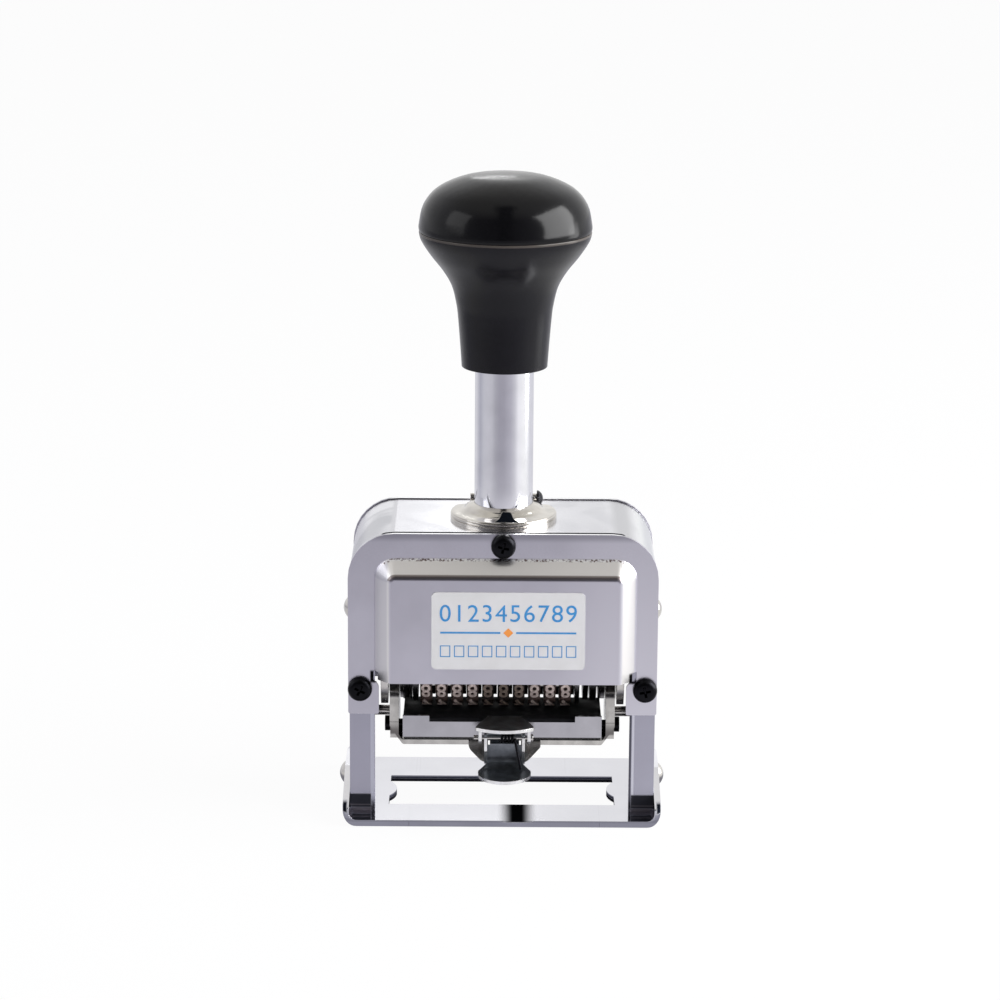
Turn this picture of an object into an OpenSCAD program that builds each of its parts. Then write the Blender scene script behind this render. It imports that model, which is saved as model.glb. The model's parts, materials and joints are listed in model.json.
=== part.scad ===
// Self-inking numbering machine: a plunger carries ten type wheels down through
// an arched frame while the ink pad swings out in front of them.
// Origin: centre of the base underside. +Z up, front faces -Y, +X to the right.

/* [Housing] */
// Width of the arched frame over its side walls
body_w = 75; // [72:1:84]
// Depth of the arched frame, front to rear
body_d = 34.4; // [32:0.2:40]
// Height of the frame's top face above the table
body_top = 72.4; // [71:0.2:78]
// Outer radius of the frame's two top corners
body_corner_r = 11; // [8:0.5:14]
// Thickness of the frame's folded sheet
body_sheet = 1.2; // [1:0.1:1.5]
// Width of the flange that is folded in along each leg
leg_w = 6.2; // [6:0.1:6.8]
// Width of the flange that is folded in along each leg at the rear
rear_leg_w = 4.6; // [4:0.1:6]
// Height of the flange that is folded down under the top
top_flange_h = 6.2; // [5:0.1:8]

/* [Base] */
// Depth of the base plate
base_d = 48.6; // [44:0.2:56]
// Thickness of the base plate
base_t = 1.6; // [1.2:0.1:2]
// Outer radius of the bend between base plate and ear
base_bend_r = 3.5; // [2.5:0.1:4.5]
// Height of the riveted ears
ear_h = 9.8; // [9.4:0.2:14]
// Depth of the ears at their top
ear_top_d = 13; // [9:0.5:20]
// Height at which the ears start to narrow
ear_shoulder_h = 4.6; // [4:0.2:6]
// Width of the printing window
window_w = 56.2; // [55.8:0.2:57]
// Depth of the printing window
window_d = 21.8; // [20:0.2:23]
// Centre of the printing window in front of the printing line
window_front_shift = 1.3; // [0:0.1:2]
// How far the rounded sight nubs reach into the window
nub_reach = 1.7; // [1:0.1:1.8]
// Radius of the sight nubs
nub_r = 9.5; // [6:0.5:12]
// Height of the ear rivets
ear_rivet_z = 5.7; // [5.5:0.1:6.4]
// Diameter of the ear rivet heads
ear_rivet_d = 6; // [5:0.2:7]

/* [Covers] */
// Thickness of the cover sheet
cover_t = 1; // [0.8:0.1:1.2]
// How far the cover overlaps the frame's outline on each side
cover_lap = 0.3; // [0:0.1:0.5]
// Height of the cover's lower ends
cover_foot_z = 27; // [25:0.5:30]
// Height of the pressed panel's open lower edge
panel_low_z = 36.1; // [35.5:0.1:38]
// Distance from the cover's side edge to the foot of the pressed panel
panel_side = 5.8; // [5.6:0.1:6.6]
// Distance from the cover's top edge to the foot of the pressed panel
panel_top = 6; // [5.9:0.1:6.4]
// Middle of the pressed panel to the right of the middle
panel_x = 0.6; // [0:0.1:0.8]
// How far the pressed panel stands out
panel_h = 4.5; // [3:0.1:5]
// Width of the pressed panel's sloping wall
panel_slope = 3.9; // [3:0.1:4.5]
// Radius of the pressed panel's corners at their foot
panel_corner_r = 5.2; // [4.8:0.1:7]
// Radius where the slope meets the panel's face
panel_edge_r = 1.5; // [1.2:0.1:2]
// How far the cover's lower lugs widen inwards
lug_in = 1; // [0.5:0.1:1.6]
// Height of the cover's lower lugs
lug_h = 7; // [5:0.2:8]
// Diameter of the cover screws' heads
cover_screw_d = 6; // [5:0.1:6.4]
// Diameter of the cover screws' shanks
cover_screw_shank = 2.8; // [2:0.1:3]
// Height of the two lower cover screws
low_screw_z = 33.5; // [32:0.1:34]
// Distance of the cover screws from the frame's outer edge
screw_edge = 2.6; // [2.4:0.1:3]
// Width of the label
label_w = 37.3; // [30:0.1:44]
// Height of the label
label_h = 19.4; // [14:0.1:22]
// Centre of the label to the right of the middle
label_x = 1.3; // [0:0.1:3]
// Height of the label's centre
label_z = 49.7; // [48:0.1:51]
// Thickness of the label
label_t = 0.3; // [0.1:0.05:0.4]
// Diameter of the side screws' heads
side_screw_d = 6.4; // [5:0.1:7]
// Height of the side screws
side_screw_z = 49; // [47:0.5:52]

/* [Plunger] */
// Diameter of the handle tube
tube_d = 14.4; // [14:0.1:15]
// Wall of the handle tube
tube_wall = 1.4; // [1:0.1:2]
// Height of the grip's lower rim at rest
grip_low_z = 110.6; // [108:0.2:118]
// Diameter of the grip at its lower rim
grip_d = 21; // [19:0.2:24]
// Diameter of the knob at its widest
knob_d = 42; // [38:0.5:46]
// Height of the grip from its rim to the seam under the cap
grip_h = 33.4; // [30:0.2:38]
// Height of the glossy cap above the seam
cap_h = 13.9; // [12:0.1:17]
// Running clearance between the tube and the collar's bore
tube_clear = 0.05; // [0.03:0.01:0.09]
// How far the plunger travels
stroke = 24.1; // [22:0.1:24.1]

/* [Collar] */
// Diameter of the flared collar
collar_d = 26.2; // [25:0.1:28]
// Height of the collar's rim
collar_rim_h = 1.75; // [1.4:0.05:2.4]
// Height of the collar where the tube leaves it
collar_h = 3.9; // [3.6:0.1:4.6]
// Diameter of the collar's threaded neck
collar_neck_d = 19; // [18:0.2:20]
// Height of the nut under the top
collar_nut_h = 3.4; // [3:0.1:4]
// Diameter of the lock pin
lock_pin_d = 2.5; // [2.3:0.1:2.6]
// Travel of the lock pin
lock_travel = 1.2; // [1:0.1:1.3]
// Diameter of the lock pin's button
lock_button_d = 4; // [3.4:0.1:4.4]

/* [Type wheels] */
// Height of the wheel shaft at rest
axle_z = 36.95; // [36.95:0.05:37.4]
// Diameter of the wheel shaft
axle_d = 5; // [4.6:0.1:5.2]
// Distance from one type wheel to the next
wheel_pitch = 3.83; // [3.8:0.01:3.86]
// Centre of the first type wheel from the middle
wheel_first_x = -18.9; // [-19:0.05:-18.8]
// Diameter over the type blocks
type_d = 25.4; // [25:0.1:25.4]
// Width of a type wheel
type_w = 2.9; // [2.7:0.05:2.95]
// Depth of the gaps between the type blocks
type_gap_depth = 2.1; // [1.5:0.1:2.4]
// Thickness of the side disc on the left of each type wheel
side_disc_t = 0.35; // [0.2:0.05:0.5]
// Diameter of the ratchet beside each type wheel
ratchet_d = 20.4; // [19:0.1:20.6]
// Thickness of the ratchet
ratchet_w = 0.78; // [0.6:0.02:0.8]
// Number of type blocks and ratchet teeth: ten figures, a dash and a blank
type_count = 12; // [10:1:12]
// Running clearance on the wheel shaft
axle_clear = 0.05; // [0.03:0.01:0.09]

/* [Carriage] */
// Distance of the carriage cheeks' inner faces from the middle
cheek_x = 28.2; // [28.2:0.05:28.4]
// Thickness of the carriage cheeks
cheek_t = 1.8; // [1.5:0.1:2]
// Radius of the cheeks' rounded lower end
cheek_r = 14.2; // [13:0.1:14.4]
// Depth of the cheeks' flat lower edge below the shaft
cheek_low = 9.65; // [9:0.05:9.8]
// Height of the crosshead above the shaft
crosshead_z = 14.6; // [14.4:0.1:15]
// Thickness of the crosshead
crosshead_h = 5; // [4:0.2:6]

/* [Ink pad] */
// Length of the pad across the machine
pad_w = 49; // [48.6:0.1:49.4]
// Gap between the type faces and the pad
pad_below_type = 0.1; // [0.08:0.02:0.3]
// How far the pad's face lies below the ends of the tray's front wall
pad_sunk = 0.75; // [0.3:0.05:0.9]
// Front face of the pad tray in front of the shaft
tray_front = 13; // [12.6:0.1:13.4]
// Rear edge of the pad tray behind the shaft
tray_rear = 5; // [4:0.1:5.2]
// Thickness of the tray's sheet
tray_t = 0.8; // [0.6:0.05:0.9]
// Height of the tray's front wall at its ends
tray_wall_h = 5.5; // [5:0.1:5.8]
// Depth of the cut-out in the tray's front wall
tray_cut = 1.5; // [1:0.1:2]
// Distance of the bail arms' inner faces from the middle
arm_x = 25.6; // [25.3:0.05:25.7]
// Thickness of the bail arms
arm_t = 2.2; // [1.8:0.1:2.3]
// Angle through which the pad swings forward
pad_swing = 70; // [64:1:70]
// Diameter of the cam studs
stud_d = 2.6; // [2:0.1:2.8]
// Middle of the pad clip to the right of the middle
clip_x = 0.6; // [0:0.1:1]

/* [Springs] */
// Wire of the return springs
return_wire = 0.8; // [0.6:0.05:0.9]
// Coil diameter of the return springs
return_coil_d = 6; // [5:0.1:6.4]
// Turns of the return springs
return_turns = 8; // [6:1:8]
// Wire of the clip's torsion spring
clip_wire = 0.7; // [0.5:0.05:0.8]

/* [Hidden] */

$fn = 64;
seat = 0.05;             // clearance of a fixed shank or spigot in its hole
eps = 0.01;              // overshoot of a cut
arc_steps = 8;           // steps in a rounded corner

half_w = body_w / 2;
half_d = body_d / 2;
leg_in = half_w - leg_w;
wall_in = half_w - body_sheet;
cover_plane = half_d + cover_t;
panel_plane = cover_plane + panel_h;
cover_half = half_w + cover_lap;
cover_top = body_top + cover_lap;
panel_foot_x = cover_half - panel_side;
panel_foot_z = cover_top - panel_top;
low_screw_x = half_w - screw_edge;
top_screw_z = body_top - screw_edge;

ear_out = half_w + seat + base_t;
win_y0 = -window_front_shift - window_d / 2;

tube_r = tube_d / 2;
tube_bore = tube_r - tube_wall;
crosshead_low = axle_z + crosshead_z;
crosshead_top = crosshead_low + crosshead_h;
seam_z = grip_low_z + grip_h;
tube_top = grip_low_z + 20;
nut_low = body_top - body_sheet - collar_nut_h;

type_r = type_d / 2;
ratchet_r = ratchet_d / 2;
axle_bore = axle_d / 2 + axle_clear;
wheel_last_x = wheel_first_x + 9 * wheel_pitch;
pack_left = wheel_first_x - type_w / 2;
pack_right = wheel_last_x + type_w / 2 + ratchet_w;

cam_t = 1.5;
cam_in = wall_in - cam_t;
cheek_out = cheek_x + cheek_t;

pad_top = axle_z - type_r - pad_below_type;
tray_low = pad_top + pad_sunk - tray_wall_h;
bar_top = tray_low - 0.7;
bar_low = bar_top - 1.2;
arm_out = arm_x + arm_t;
clip_pin_y = -tray_front - 6;
clip_pin_z = tray_low + 1.9;
clip_pin_r = 0.6;
stud_y = 2.4;
stud_below = 15.5;
tray_pin_y = -8;
tray_pin_below = 15.55;
rod_y = 13.5;
rod_above = 12;
rod_r = 1.2;
lock_y = tube_r + 0.55;
lock_z = body_top + 2.8;
lock_r = lock_pin_d / 2;
spring_x = 20;
cheek_screw_depth = 3;

// ---- outlines ----

// Points of one rounded corner of an outline
function corner(a, p, b, r) =
    let (u = (a - p) / norm(a - p), v = (b - p) / norm(b - p),
        half = acos(u * v) / 2, c = p + (u + v) / norm(u + v) * r / sin(half),
        s = p + u * r / tan(half) - c, e = p + v * r / tan(half) - c,
        a0 = atan2(s[1], s[0]), turn = atan2(e[1], e[0]) - a0,
        sweep = turn > 180 ? turn - 360 : turn < -180 ? turn + 360 : turn)
    r == 0 ? [p] : [for (i = [0 : arc_steps])
        c + r * [cos(a0 + sweep * i / arc_steps), sin(a0 + sweep * i / arc_steps)]];

// Outline whose corners are given as [x, y, radius]
function rounded(q) = [for (i = [0 : len(q) - 1])
    let (n = len(q), p = q[i], a = q[(i + n - 1) % n], b = q[(i + 1) % n])
    each corner([a[0], a[1]], [p[0], p[1]], [b[0], b[1]], p[2])];

// Point on a smooth curve through a list of points, at t from 0 to len - 1
function spline_at(q, t) =
    let (i = min(floor(t), len(q) - 2), f = t - i,
        p0 = q[max(i - 1, 0)], p1 = q[i], p2 = q[i + 1], p3 = q[min(i + 2, len(q) - 1)])
    0.5 * (2 * p1 + (p2 - p0) * f + (2 * p0 - 5 * p1 + 4 * p2 - p3) * f * f
        + (3 * p1 - p0 - 3 * p2 + p3) * f * f * f);
function spline(q, steps) = [for (i = [0 : (len(q) - 1) * steps]) spline_at(q, i / steps)];

// Outline of a strip of constant thickness beside a path
function band(q, t) = concat(q, [for (i = [len(q) - 1 : -1 : 0])
    let (d = q[min(i + 1, len(q) - 1)] - q[max(i - 1, 0)]) q[i] + t * [-d[1], d[0]] / norm(d)]);

// Arch outline in the X-Z plane
function arch(half, low, high, top_r, foot_r) =
    rounded([[-half, low, foot_r], [-half, high, top_r], [half, high, top_r], [half, low, foot_r]]);

// ---- solids along an axis ----

module yz_plate(x0, x1) translate([x0, 0, 0]) rotate([90, 0, 90]) linear_extrude(x1 - x0) children();
module xz_plate(y0, y1) translate([0, y1, 0]) rotate([90, 0, 0]) linear_extrude(y1 - y0) children();
module rod_x(x0, x1, r) translate([x0, 0, 0]) rotate([0, 90, 0]) cylinder(h = x1 - x0, r = r);
module rod_y(y0, y1, r) translate([0, y0, 0]) rotate([-90, 0, 0]) cylinder(h = y1 - y0, r = r);
module both_sides() { children(); mirror([1, 0, 0]) children(); }
module at_axle() translate([0, 0, axle_z]) children();

// Wire wound into a coil along +Z, with flat ends
module coil(coil_r, wire_r, turns, pitch, per_turn, sides) {
    rings = turns * per_turn;
    points = [for (i = [0 : rings], j = [0 : sides - 1])
        let (a = 360 * i / per_turn, b = 360 * j / sides, r = coil_r + wire_r * cos(b))
        [r * cos(a), r * sin(a), pitch * i / per_turn + wire_r * sin(b)]];
    skin = [for (i = [0 : rings - 1], j = [0 : sides - 1])
        let (k = (j + 1) % sides)
        [i * sides + j, i * sides + k, (i + 1) * sides + k, (i + 1) * sides + j]];
    ends = [[for (j = [sides - 1 : -1 : 0]) j], [for (j = [0 : sides - 1]) rings * sides + j]];
    polyhedron(points, concat(skin, ends), convexity = 10);
}

// Screw with a domed head that stands up from Z = 0 and a shank below it
module dome_screw(head_d, head_h, shank_d, shank_l) {
    dome_r = (head_d * head_d / 4 + head_h * head_h) / (2 * head_h);
    intersection() {
        translate([0, 0, head_h - dome_r]) sphere(r = dome_r);
        cylinder(h = head_h, d = head_d);
    }
    translate([0, 0, -shank_l]) cylinder(h = shank_l, d = shank_d);
}

// Pan-head screw with a cross recess
module cross_screw(head_d, shank_d, shank_l) {
    head_h = 2.1;
    slot_w = 0.7;
    difference() {
        union() {
            rotate_extrude() polygon(concat([[0, 0], [head_d / 2, 0]],
                corner([head_d / 2, 0], [head_d / 2, head_h], [0, head_h], 1.2), [[0, head_h]]));
            translate([0, 0, -shank_l]) cylinder(h = shank_l, d = shank_d);
        }
        for (a = [45, 135]) rotate(a) translate([-head_d * 0.28, -slot_w / 2, head_h - 1.1])
            cube([head_d * 0.56, slot_w, 2]);
    }
}

// ---- frame ----

module base_plate() color("gainsboro") {
    bend_x = ear_out - base_bend_r;
    inner_r = base_bend_r - base_t;
    profile = rounded([[-ear_out, 0, base_bend_r], [-ear_out, ear_h, 0], [-ear_out + base_t, ear_h, 0],
        [-ear_out + base_t, base_t, inner_r], [ear_out - base_t, base_t, inner_r],
        [ear_out - base_t, ear_h, 0], [ear_out, ear_h, 0], [ear_out, 0, base_bend_r]]);
    side_view = rounded([[-base_d / 2, 0, 0], [-base_d / 2, ear_shoulder_h, 1.5],
        [-ear_top_d / 2, ear_h, 3], [ear_top_d / 2, ear_h, 3],
        [base_d / 2, ear_shoulder_h, 1.5], [base_d / 2, 0, 0]]);
    plan_r = 2.5;
    difference() {
        intersection() {
            xz_plate(-base_d / 2, base_d / 2) polygon(profile);
            yz_plate(-ear_out, ear_out) polygon(side_view);
            linear_extrude(ear_h) polygon(rounded([[-ear_out, -base_d / 2, plan_r], [-ear_out, base_d / 2, plan_r],
                [ear_out, base_d / 2, plan_r], [ear_out, -base_d / 2, plan_r]]));
        }
        translate([0, 0, -eps]) linear_extrude(base_t + 2 * eps) difference() {
            translate([-window_w / 2, win_y0]) square([window_w, window_d]);
            for (s = [-1, 1]) translate([s * (window_w / 2 - nub_reach + nub_r), -window_front_shift + 1])
                circle(r = nub_r);
        }
        both_sides() translate([0, 0, ear_rivet_z]) rod_x(bend_x, ear_out + 1, 1.5 + seat);
    }
}

// Holes of the three cover screws, through a front or rear wall
module cover_screw_places() {
    for (p = [[-low_screw_x, low_screw_z], [low_screw_x, low_screw_z], [0, top_screw_z]])
        translate([p[0], 0, p[1]]) children();
}

module main_frame() color("gainsboro") {
    foot_r = base_bend_r - base_t - seat;
    difference() {
        xz_plate(-half_d, half_d) polygon(arch(half_w, base_t, body_top, body_corner_r, foot_r));
        xz_plate(-half_d + body_sheet, half_d - body_sheet)
            polygon(arch(wall_in, base_t - 1, body_top - body_sheet, body_corner_r - body_sheet, 0));
        xz_plate(-half_d - 1, half_d + 1)
            polygon(arch(leg_in, base_t - 1, body_top - top_flange_h, panel_corner_r, 0));
        translate([-half_w + rear_leg_w, half_d - body_sheet - 1, base_t - 1])
            cube([2 * (half_w - rear_leg_w), body_sheet + 2, cover_foot_z - base_t]);
        translate([0, 0, nut_low]) cylinder(h = 10, d = collar_neck_d + 2 * seat);
        cover_screw_places() rod_y(-half_d - 1, half_d + 1, cover_screw_shank / 2 + seat);
        for (z = [ear_rivet_z, side_screw_z]) translate([0, 0, z]) rod_x(-half_w - 1, half_w + 1, 1.5 + seat);
    }
}

// Section of the pressed panel, [inwards from its foot, outwards from the flange], moved in by a depth
function panel_section(depth) =
    let (shift = depth * tan(atan2(panel_h, panel_slope) / 2), foot = [shift, -depth],
        edge = [panel_slope + shift, panel_h - depth])
    concat([[shift, -cover_t], foot], corner(foot, edge, edge + [1, 0], panel_edge_r - depth));

module panel_block(depth, low) hull() for (p = panel_section(depth))
    xz_plate(-p[1], -p[1] + eps) polygon(arch(panel_foot_x - p[0], low, panel_foot_z - p[0],
        max(panel_corner_r - p[0], 0.1), 0));

module pressed_panel() difference() {
    panel_block(0, panel_low_z);
    panel_block(cover_t, panel_low_z - 2);
}

// Slots that free the panel's lower corners for the press
module relief_slots(w) both_sides() translate([panel_foot_x - w, -1.1, panel_low_z - 1]) cube([w + 0.2, 4, 3]);

module cover() {
    relief_w = 0.9;
    translate([0, -cover_plane, 0]) {
        difference() {
            xz_plate(0, cover_t) polygon(rounded([[-cover_half, cover_foot_z, 0.6],
                [-cover_half, cover_top, body_corner_r + cover_lap], [cover_half, cover_top, body_corner_r + cover_lap],
                [cover_half, cover_foot_z, 0.6], [leg_in - lug_in, cover_foot_z, 0.4],
                [leg_in - lug_in, cover_foot_z + lug_h, 1.2], [leg_in - 0.1, panel_low_z - 0.6, 0.5],
                [leg_in - 0.1, panel_low_z + 2, 0], [-leg_in + 0.1, panel_low_z + 2, 0],
                [-leg_in + 0.1, panel_low_z - 0.6, 0.5], [-leg_in + lug_in, cover_foot_z + lug_h, 1.2],
                [-leg_in + lug_in, cover_foot_z, 0.4]]));
            translate([panel_x, 0, 0]) {
                xz_plate(-1, cover_t + 1)
                    polygon(arch(panel_foot_x, panel_low_z - eps, panel_foot_z, panel_corner_r, 0));
                relief_slots(relief_w);
            }
            cover_screw_places() rod_y(-1, 2, cover_screw_shank / 2 + seat);
        }
        translate([panel_x, 0, 0]) difference() {
            pressed_panel();
            relief_slots(relief_w);
        }
    }
}

module front_cover() color("lightsteelblue") cover();
module rear_cover() color("lightsteelblue") rotate(180) cover();

module cover_screws() cover_screw_places() translate([0, -cover_plane, 0]) rotate([90, 0, 0])
    cross_screw(cover_screw_d, cover_screw_shank, cover_t + body_sheet + 1);
module front_cover_screws() color("black") cover_screws();
module rear_cover_screws() color("black") rotate(180) cover_screws();

module label() color("whitesmoke") {
    low = label_z - label_h / 2;
    translate([label_x, 0, 0]) xz_plate(-panel_plane - label_t, -panel_plane)
        polygon(arch(label_w / 2, low, low + label_h, 1.3, 1.3));
}

module side_screws() color("silver") both_sides() translate([half_w, 0, side_screw_z]) rotate([0, 90, 0])
    dome_screw(side_screw_d, 2.1, 3, body_sheet + cam_t);

module ear_rivets() color("silver") both_sides() translate([ear_out, 0, ear_rivet_z]) rotate([0, 90, 0])
    dome_screw(ear_rivet_d, 1.6, 3, ear_out - cam_in);

// Plate inside a leg whose slanted slot steers the pad carrier
module cam_plate() color("silver") difference() {
    stud_r = norm([stud_y, stud_below]);
    start = atan2(-stud_y, stud_below);
    slot_r = stud_d / 2 + 0.3;
    path = [for (i = [0 : 4]) let (f = i / 4, a = start + pad_swing * f)
        [-stud_r * sin(a), axle_z - stroke * f - stud_r * cos(a)]];
    low = base_t + 1.2;
    yz_plate(cam_in, wall_in) polygon(rounded([[-half_d + body_sheet, low, 2],
        [-half_d + body_sheet, 27, 4], [-5, 32, 4], [-5, side_screw_z + 5, 3], [5, side_screw_z + 5, 3],
        [8, 30, 4], [8, low, 2]]));
    for (i = [0 : 3]) hull() for (p = [path[i], path[i + 1]])
        translate([cam_in - 1, p[0], p[1]]) rotate([0, 90, 0]) cylinder(h = cam_t + 2, r = slot_r, $fn = 32);
    for (z = [ear_rivet_z, side_screw_z]) translate([0, 0, z]) rod_x(cam_in - 1, wall_in + 1, 1.5 + seat);
}
module right_cam_plate() cam_plate();
module left_cam_plate() mirror([1, 0, 0]) cam_plate();

// ---- collar and lock ----

module collar() color("gainsboro") {
    r = collar_d / 2;
    top = body_top + collar_h;
    rim = body_top + collar_rim_h;
    bore = tube_r + tube_clear;
    boss_z = lock_z + lock_r + 0.9;
    flare = spline([[r - 0.7, rim], [r - 3, rim + 0.35], [bore + 1.6, top - 0.7], [bore, top]], 4);
    difference() {
        union() {
            rotate_extrude() polygon(concat([[bore, nut_low - 1.4], [collar_neck_d / 2, nut_low - 1.4],
                [collar_neck_d / 2, body_top], [r, body_top], [r, body_top + 0.5], [r - 0.25, body_top + 0.6],
                [r - 0.25, body_top + 0.75], [r, body_top + 0.85], [r, body_top + 1.25],
                [r - 0.25, body_top + 1.35], [r - 0.2, rim - 0.15]], flare));
            translate([-7, 5, body_top]) cube([14, 5.6, boss_z - body_top]);
        }
        cylinder(h = 200, r = bore);
        translate([0, lock_y, lock_z]) {
            rod_x(-20, 20, lock_r + seat);
            for (s = [-1, 1]) translate([s * 13.5, 0, 0]) rod_x(-6.5, 6.5, lock_button_d / 2 + 0.4);
        }
    }
}

module collar_nut() color("darkgray") translate([0, 0, nut_low]) difference() {
    cylinder(h = collar_nut_h, r = 13, $fn = 6);
    translate([0, 0, -1]) cylinder(h = collar_nut_h + 2, r = collar_neck_d / 2 + seat);
}

module lock_pin() color("silver") translate([0, lock_y, lock_z]) {
    waist = 3.4;
    rod_x(-8.3, -waist, lock_r);
    rod_x(-waist, waist, lock_y - tube_r - 0.1);
    rod_x(waist, 8.3, lock_r);
}

module lock_button() color("dimgray") translate([8.3, lock_y, lock_z]) rotate([0, 90, 0])
    intersection() {
        cylinder(h = 1.5, d = lock_button_d);
        translate([0, 0, -0.7]) sphere(r = 2.25);
    }

// ---- plunger ----

module handle_tube() color("silver") difference() {
    translate([0, 0, crosshead_low]) cylinder(h = tube_top - crosshead_low, r = tube_r);
    translate([0, 0, crosshead_low - 1]) cylinder(h = tube_top - crosshead_low + 2, r = tube_bore);
    for (z = [lock_z, lock_z + stroke]) translate([0, lock_y, z]) rod_x(-tube_d, tube_d, lock_r + 0.2);
}

module knob_grip() color("black") {
    r0 = grip_d / 2;
    r1 = knob_d / 2;
    side = spline([[r0, grip_low_z], [r0 + 0.4, grip_low_z + grip_h * 0.17],
        [r0 + 0.95, grip_low_z + grip_h * 0.37], [r0 + 1.4, grip_low_z + grip_h * 0.47],
        [r0 + 2.5, grip_low_z + grip_h * 0.6], [r1 - 5.8, grip_low_z + grip_h * 0.715],
        [r1 - 2.9, grip_low_z + grip_h * 0.825], [r1 - 0.6, grip_low_z + grip_h * 0.93],
        [r1, seam_z - 0.3], [r1 - 0.25, seam_z]], 4);
    difference() {
        rotate_extrude() polygon(concat([[0, grip_low_z]], side, [[0, seam_z]]));
        translate([0, 0, grip_low_z - 1]) cylinder(h = tube_top - grip_low_z + 1, r = tube_r);
        translate([0, 0, grip_low_z - 1]) cylinder(h = 2.4, r = tube_r + 1.9);
        translate([0, 0, grip_low_z]) cylinder(h = grip_h + 1, d = 6 + 2 * seat);
    }
}

module knob_cap() color("black") {
    r = knob_d / 2;
    dome = spline([[r - 0.25, seam_z], [r, seam_z + 0.35], [r, seam_z + 1.8], [r - 1.1, seam_z + cap_h * 0.46],
        [r - 4.4, seam_z + cap_h * 0.74], [r * 0.5, seam_z + cap_h * 0.935], [r * 0.22, seam_z + cap_h * 0.99],
        [0, seam_z + cap_h]], 4);
    difference() {
        rotate_extrude() polygon(concat([[0, seam_z]], dome));
        translate([0, 0, seam_z - 1]) cylinder(h = 7, d = 6 + 2 * seat);
    }
}

module handle_stud() color("goldenrod") {
    translate([0, 0, tube_top - 8]) cylinder(h = 8, r = tube_bore);
    translate([0, 0, tube_top]) cylinder(h = seam_z + 5 - tube_top, d = 6);
}

module stop_ring() color("silver") translate([0, 0, nut_low - 6.4]) difference() {
    cylinder(h = 3.2, r = tube_r + 3);
    translate([0, 0, -1]) cylinder(h = 6, r = tube_r);
}

module buffer_washer() color("dimgray") translate([0, 0, nut_low - 3.2]) difference() {
    cylinder(h = 1.5, r = tube_r + 3);
    translate([0, 0, -1]) cylinder(h = 4, r = tube_r);
}

module crosshead() color("darkgray") difference() {
    union() {
        translate([0, 0, crosshead_low]) linear_extrude(crosshead_h)
            polygon(rounded([[-cheek_x, -6, 0.5], [-cheek_x, 6, 0.5], [cheek_x, 6, 0.5], [cheek_x, -6, 0.5]]));
        translate([0, 0, crosshead_low]) cylinder(h = crosshead_h, r = tube_r + 3.2);
    }
    translate([0, 0, crosshead_low - 1]) cylinder(h = crosshead_h + 2, r = tube_r);
    both_sides() {
        translate([spring_x, 0, crosshead_top - 3]) cylinder(h = 4, d = return_coil_d + return_wire + 0.6);
        for (y = [-4, 4]) translate([0, y, crosshead_low + crosshead_h / 2]) rod_x(cheek_x - cheek_screw_depth, cheek_x + 1, 1.2);
    }
}

module cheek() color("silver") difference() {
    top = crosshead_top;
    union() {
        intersection() {
            at_axle() rod_x(cheek_x, cheek_out, cheek_r);
            translate([cheek_x, -20, axle_z - cheek_low]) cube([cheek_t, 40, cheek_low + 1]);
        }
        yz_plate(cheek_x, cheek_out) polygon(rounded([[-cheek_r, axle_z, 0], [-cheek_r, axle_z + 7, 4],
            [-8, top, 3], [rod_y + 1.9, top, 3], [rod_y + 1.9, axle_z + 8, 2], [cheek_r, axle_z + 5, 1],
            [cheek_r, axle_z, 0]]));
    }
    at_axle() rod_x(cheek_x - 1, cheek_out + 1, axle_d / 2);
    translate([0, rod_y, axle_z + rod_above]) rod_x(cheek_x - 1, cheek_out + 1, rod_r);
    for (y = [-4, 4]) translate([0, y, crosshead_low + crosshead_h / 2]) rod_x(cheek_x - 1, cheek_out + 1, 1.2 + seat);
}
module right_cheek() cheek();
module left_cheek() mirror([1, 0, 0]) cheek();

module cheek_screws() color("dimgray") both_sides() for (y = [-4, 4])
    translate([cheek_out, y, crosshead_low + crosshead_h / 2]) rotate([0, 90, 0])
        dome_screw(4, 1.2, 2.4, cheek_t + cheek_screw_depth);

module guide_shoes() color("darkgray") both_sides() yz_plate(cheek_out, cam_in - 0.3)
    polygon(rounded([[-5, axle_z + 5.5, 1], [-5, axle_z + 11.5, 1], [5, axle_z + 11.5, 1], [5, axle_z + 5.5, 1]]));

module wheel_shaft() color("silver") at_axle() rod_x(-cheek_out - 2.8, cheek_out + 2.8, axle_d / 2);

module shaft_nuts() color("dimgray") both_sides() at_axle() difference() {
    rotate([0, 90, 0]) translate([0, 0, cheek_out]) cylinder(h = 2.2, d = 9, $fn = 6);
    rod_x(cheek_out - 1, cheek_out + 4, axle_d / 2);
}

// Stepped bushes that keep the wheels in place between the pad arms
module shaft_bushes() color("silver") at_axle() {
    side_gap = 0.15;
    left_end = pack_left - side_gap;
    right_end = pack_right + side_gap;
    selector_x = right_end + 2;
    for (s = [[-arm_x + 0.25, -24.65, 10.9], [-24.65, -24.2, 11.2], [-24.2, -23, 10.9], [-23, -22.9, 8],
        [-22.9, -22.45, 11.2], [-22.45, -22.2, 8], [-22.2, -20.9, 11.7], [-20.9, left_end, 5],
        [right_end, right_end + 1.1, 12.2], [right_end + 1.1, selector_x - 0.2, 7],
        [selector_x + 1.7, selector_x + 3.3, 11.4], [selector_x + 3.3, selector_x + 3.8, 8],
        [selector_x + 3.8, arm_x - 0.25, 10.9]])
        difference() {
            rod_x(s[0], s[1], s[2]);
            rod_x(s[0] - 1, s[1] + 1, axle_d / 2);
        }
}

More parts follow.
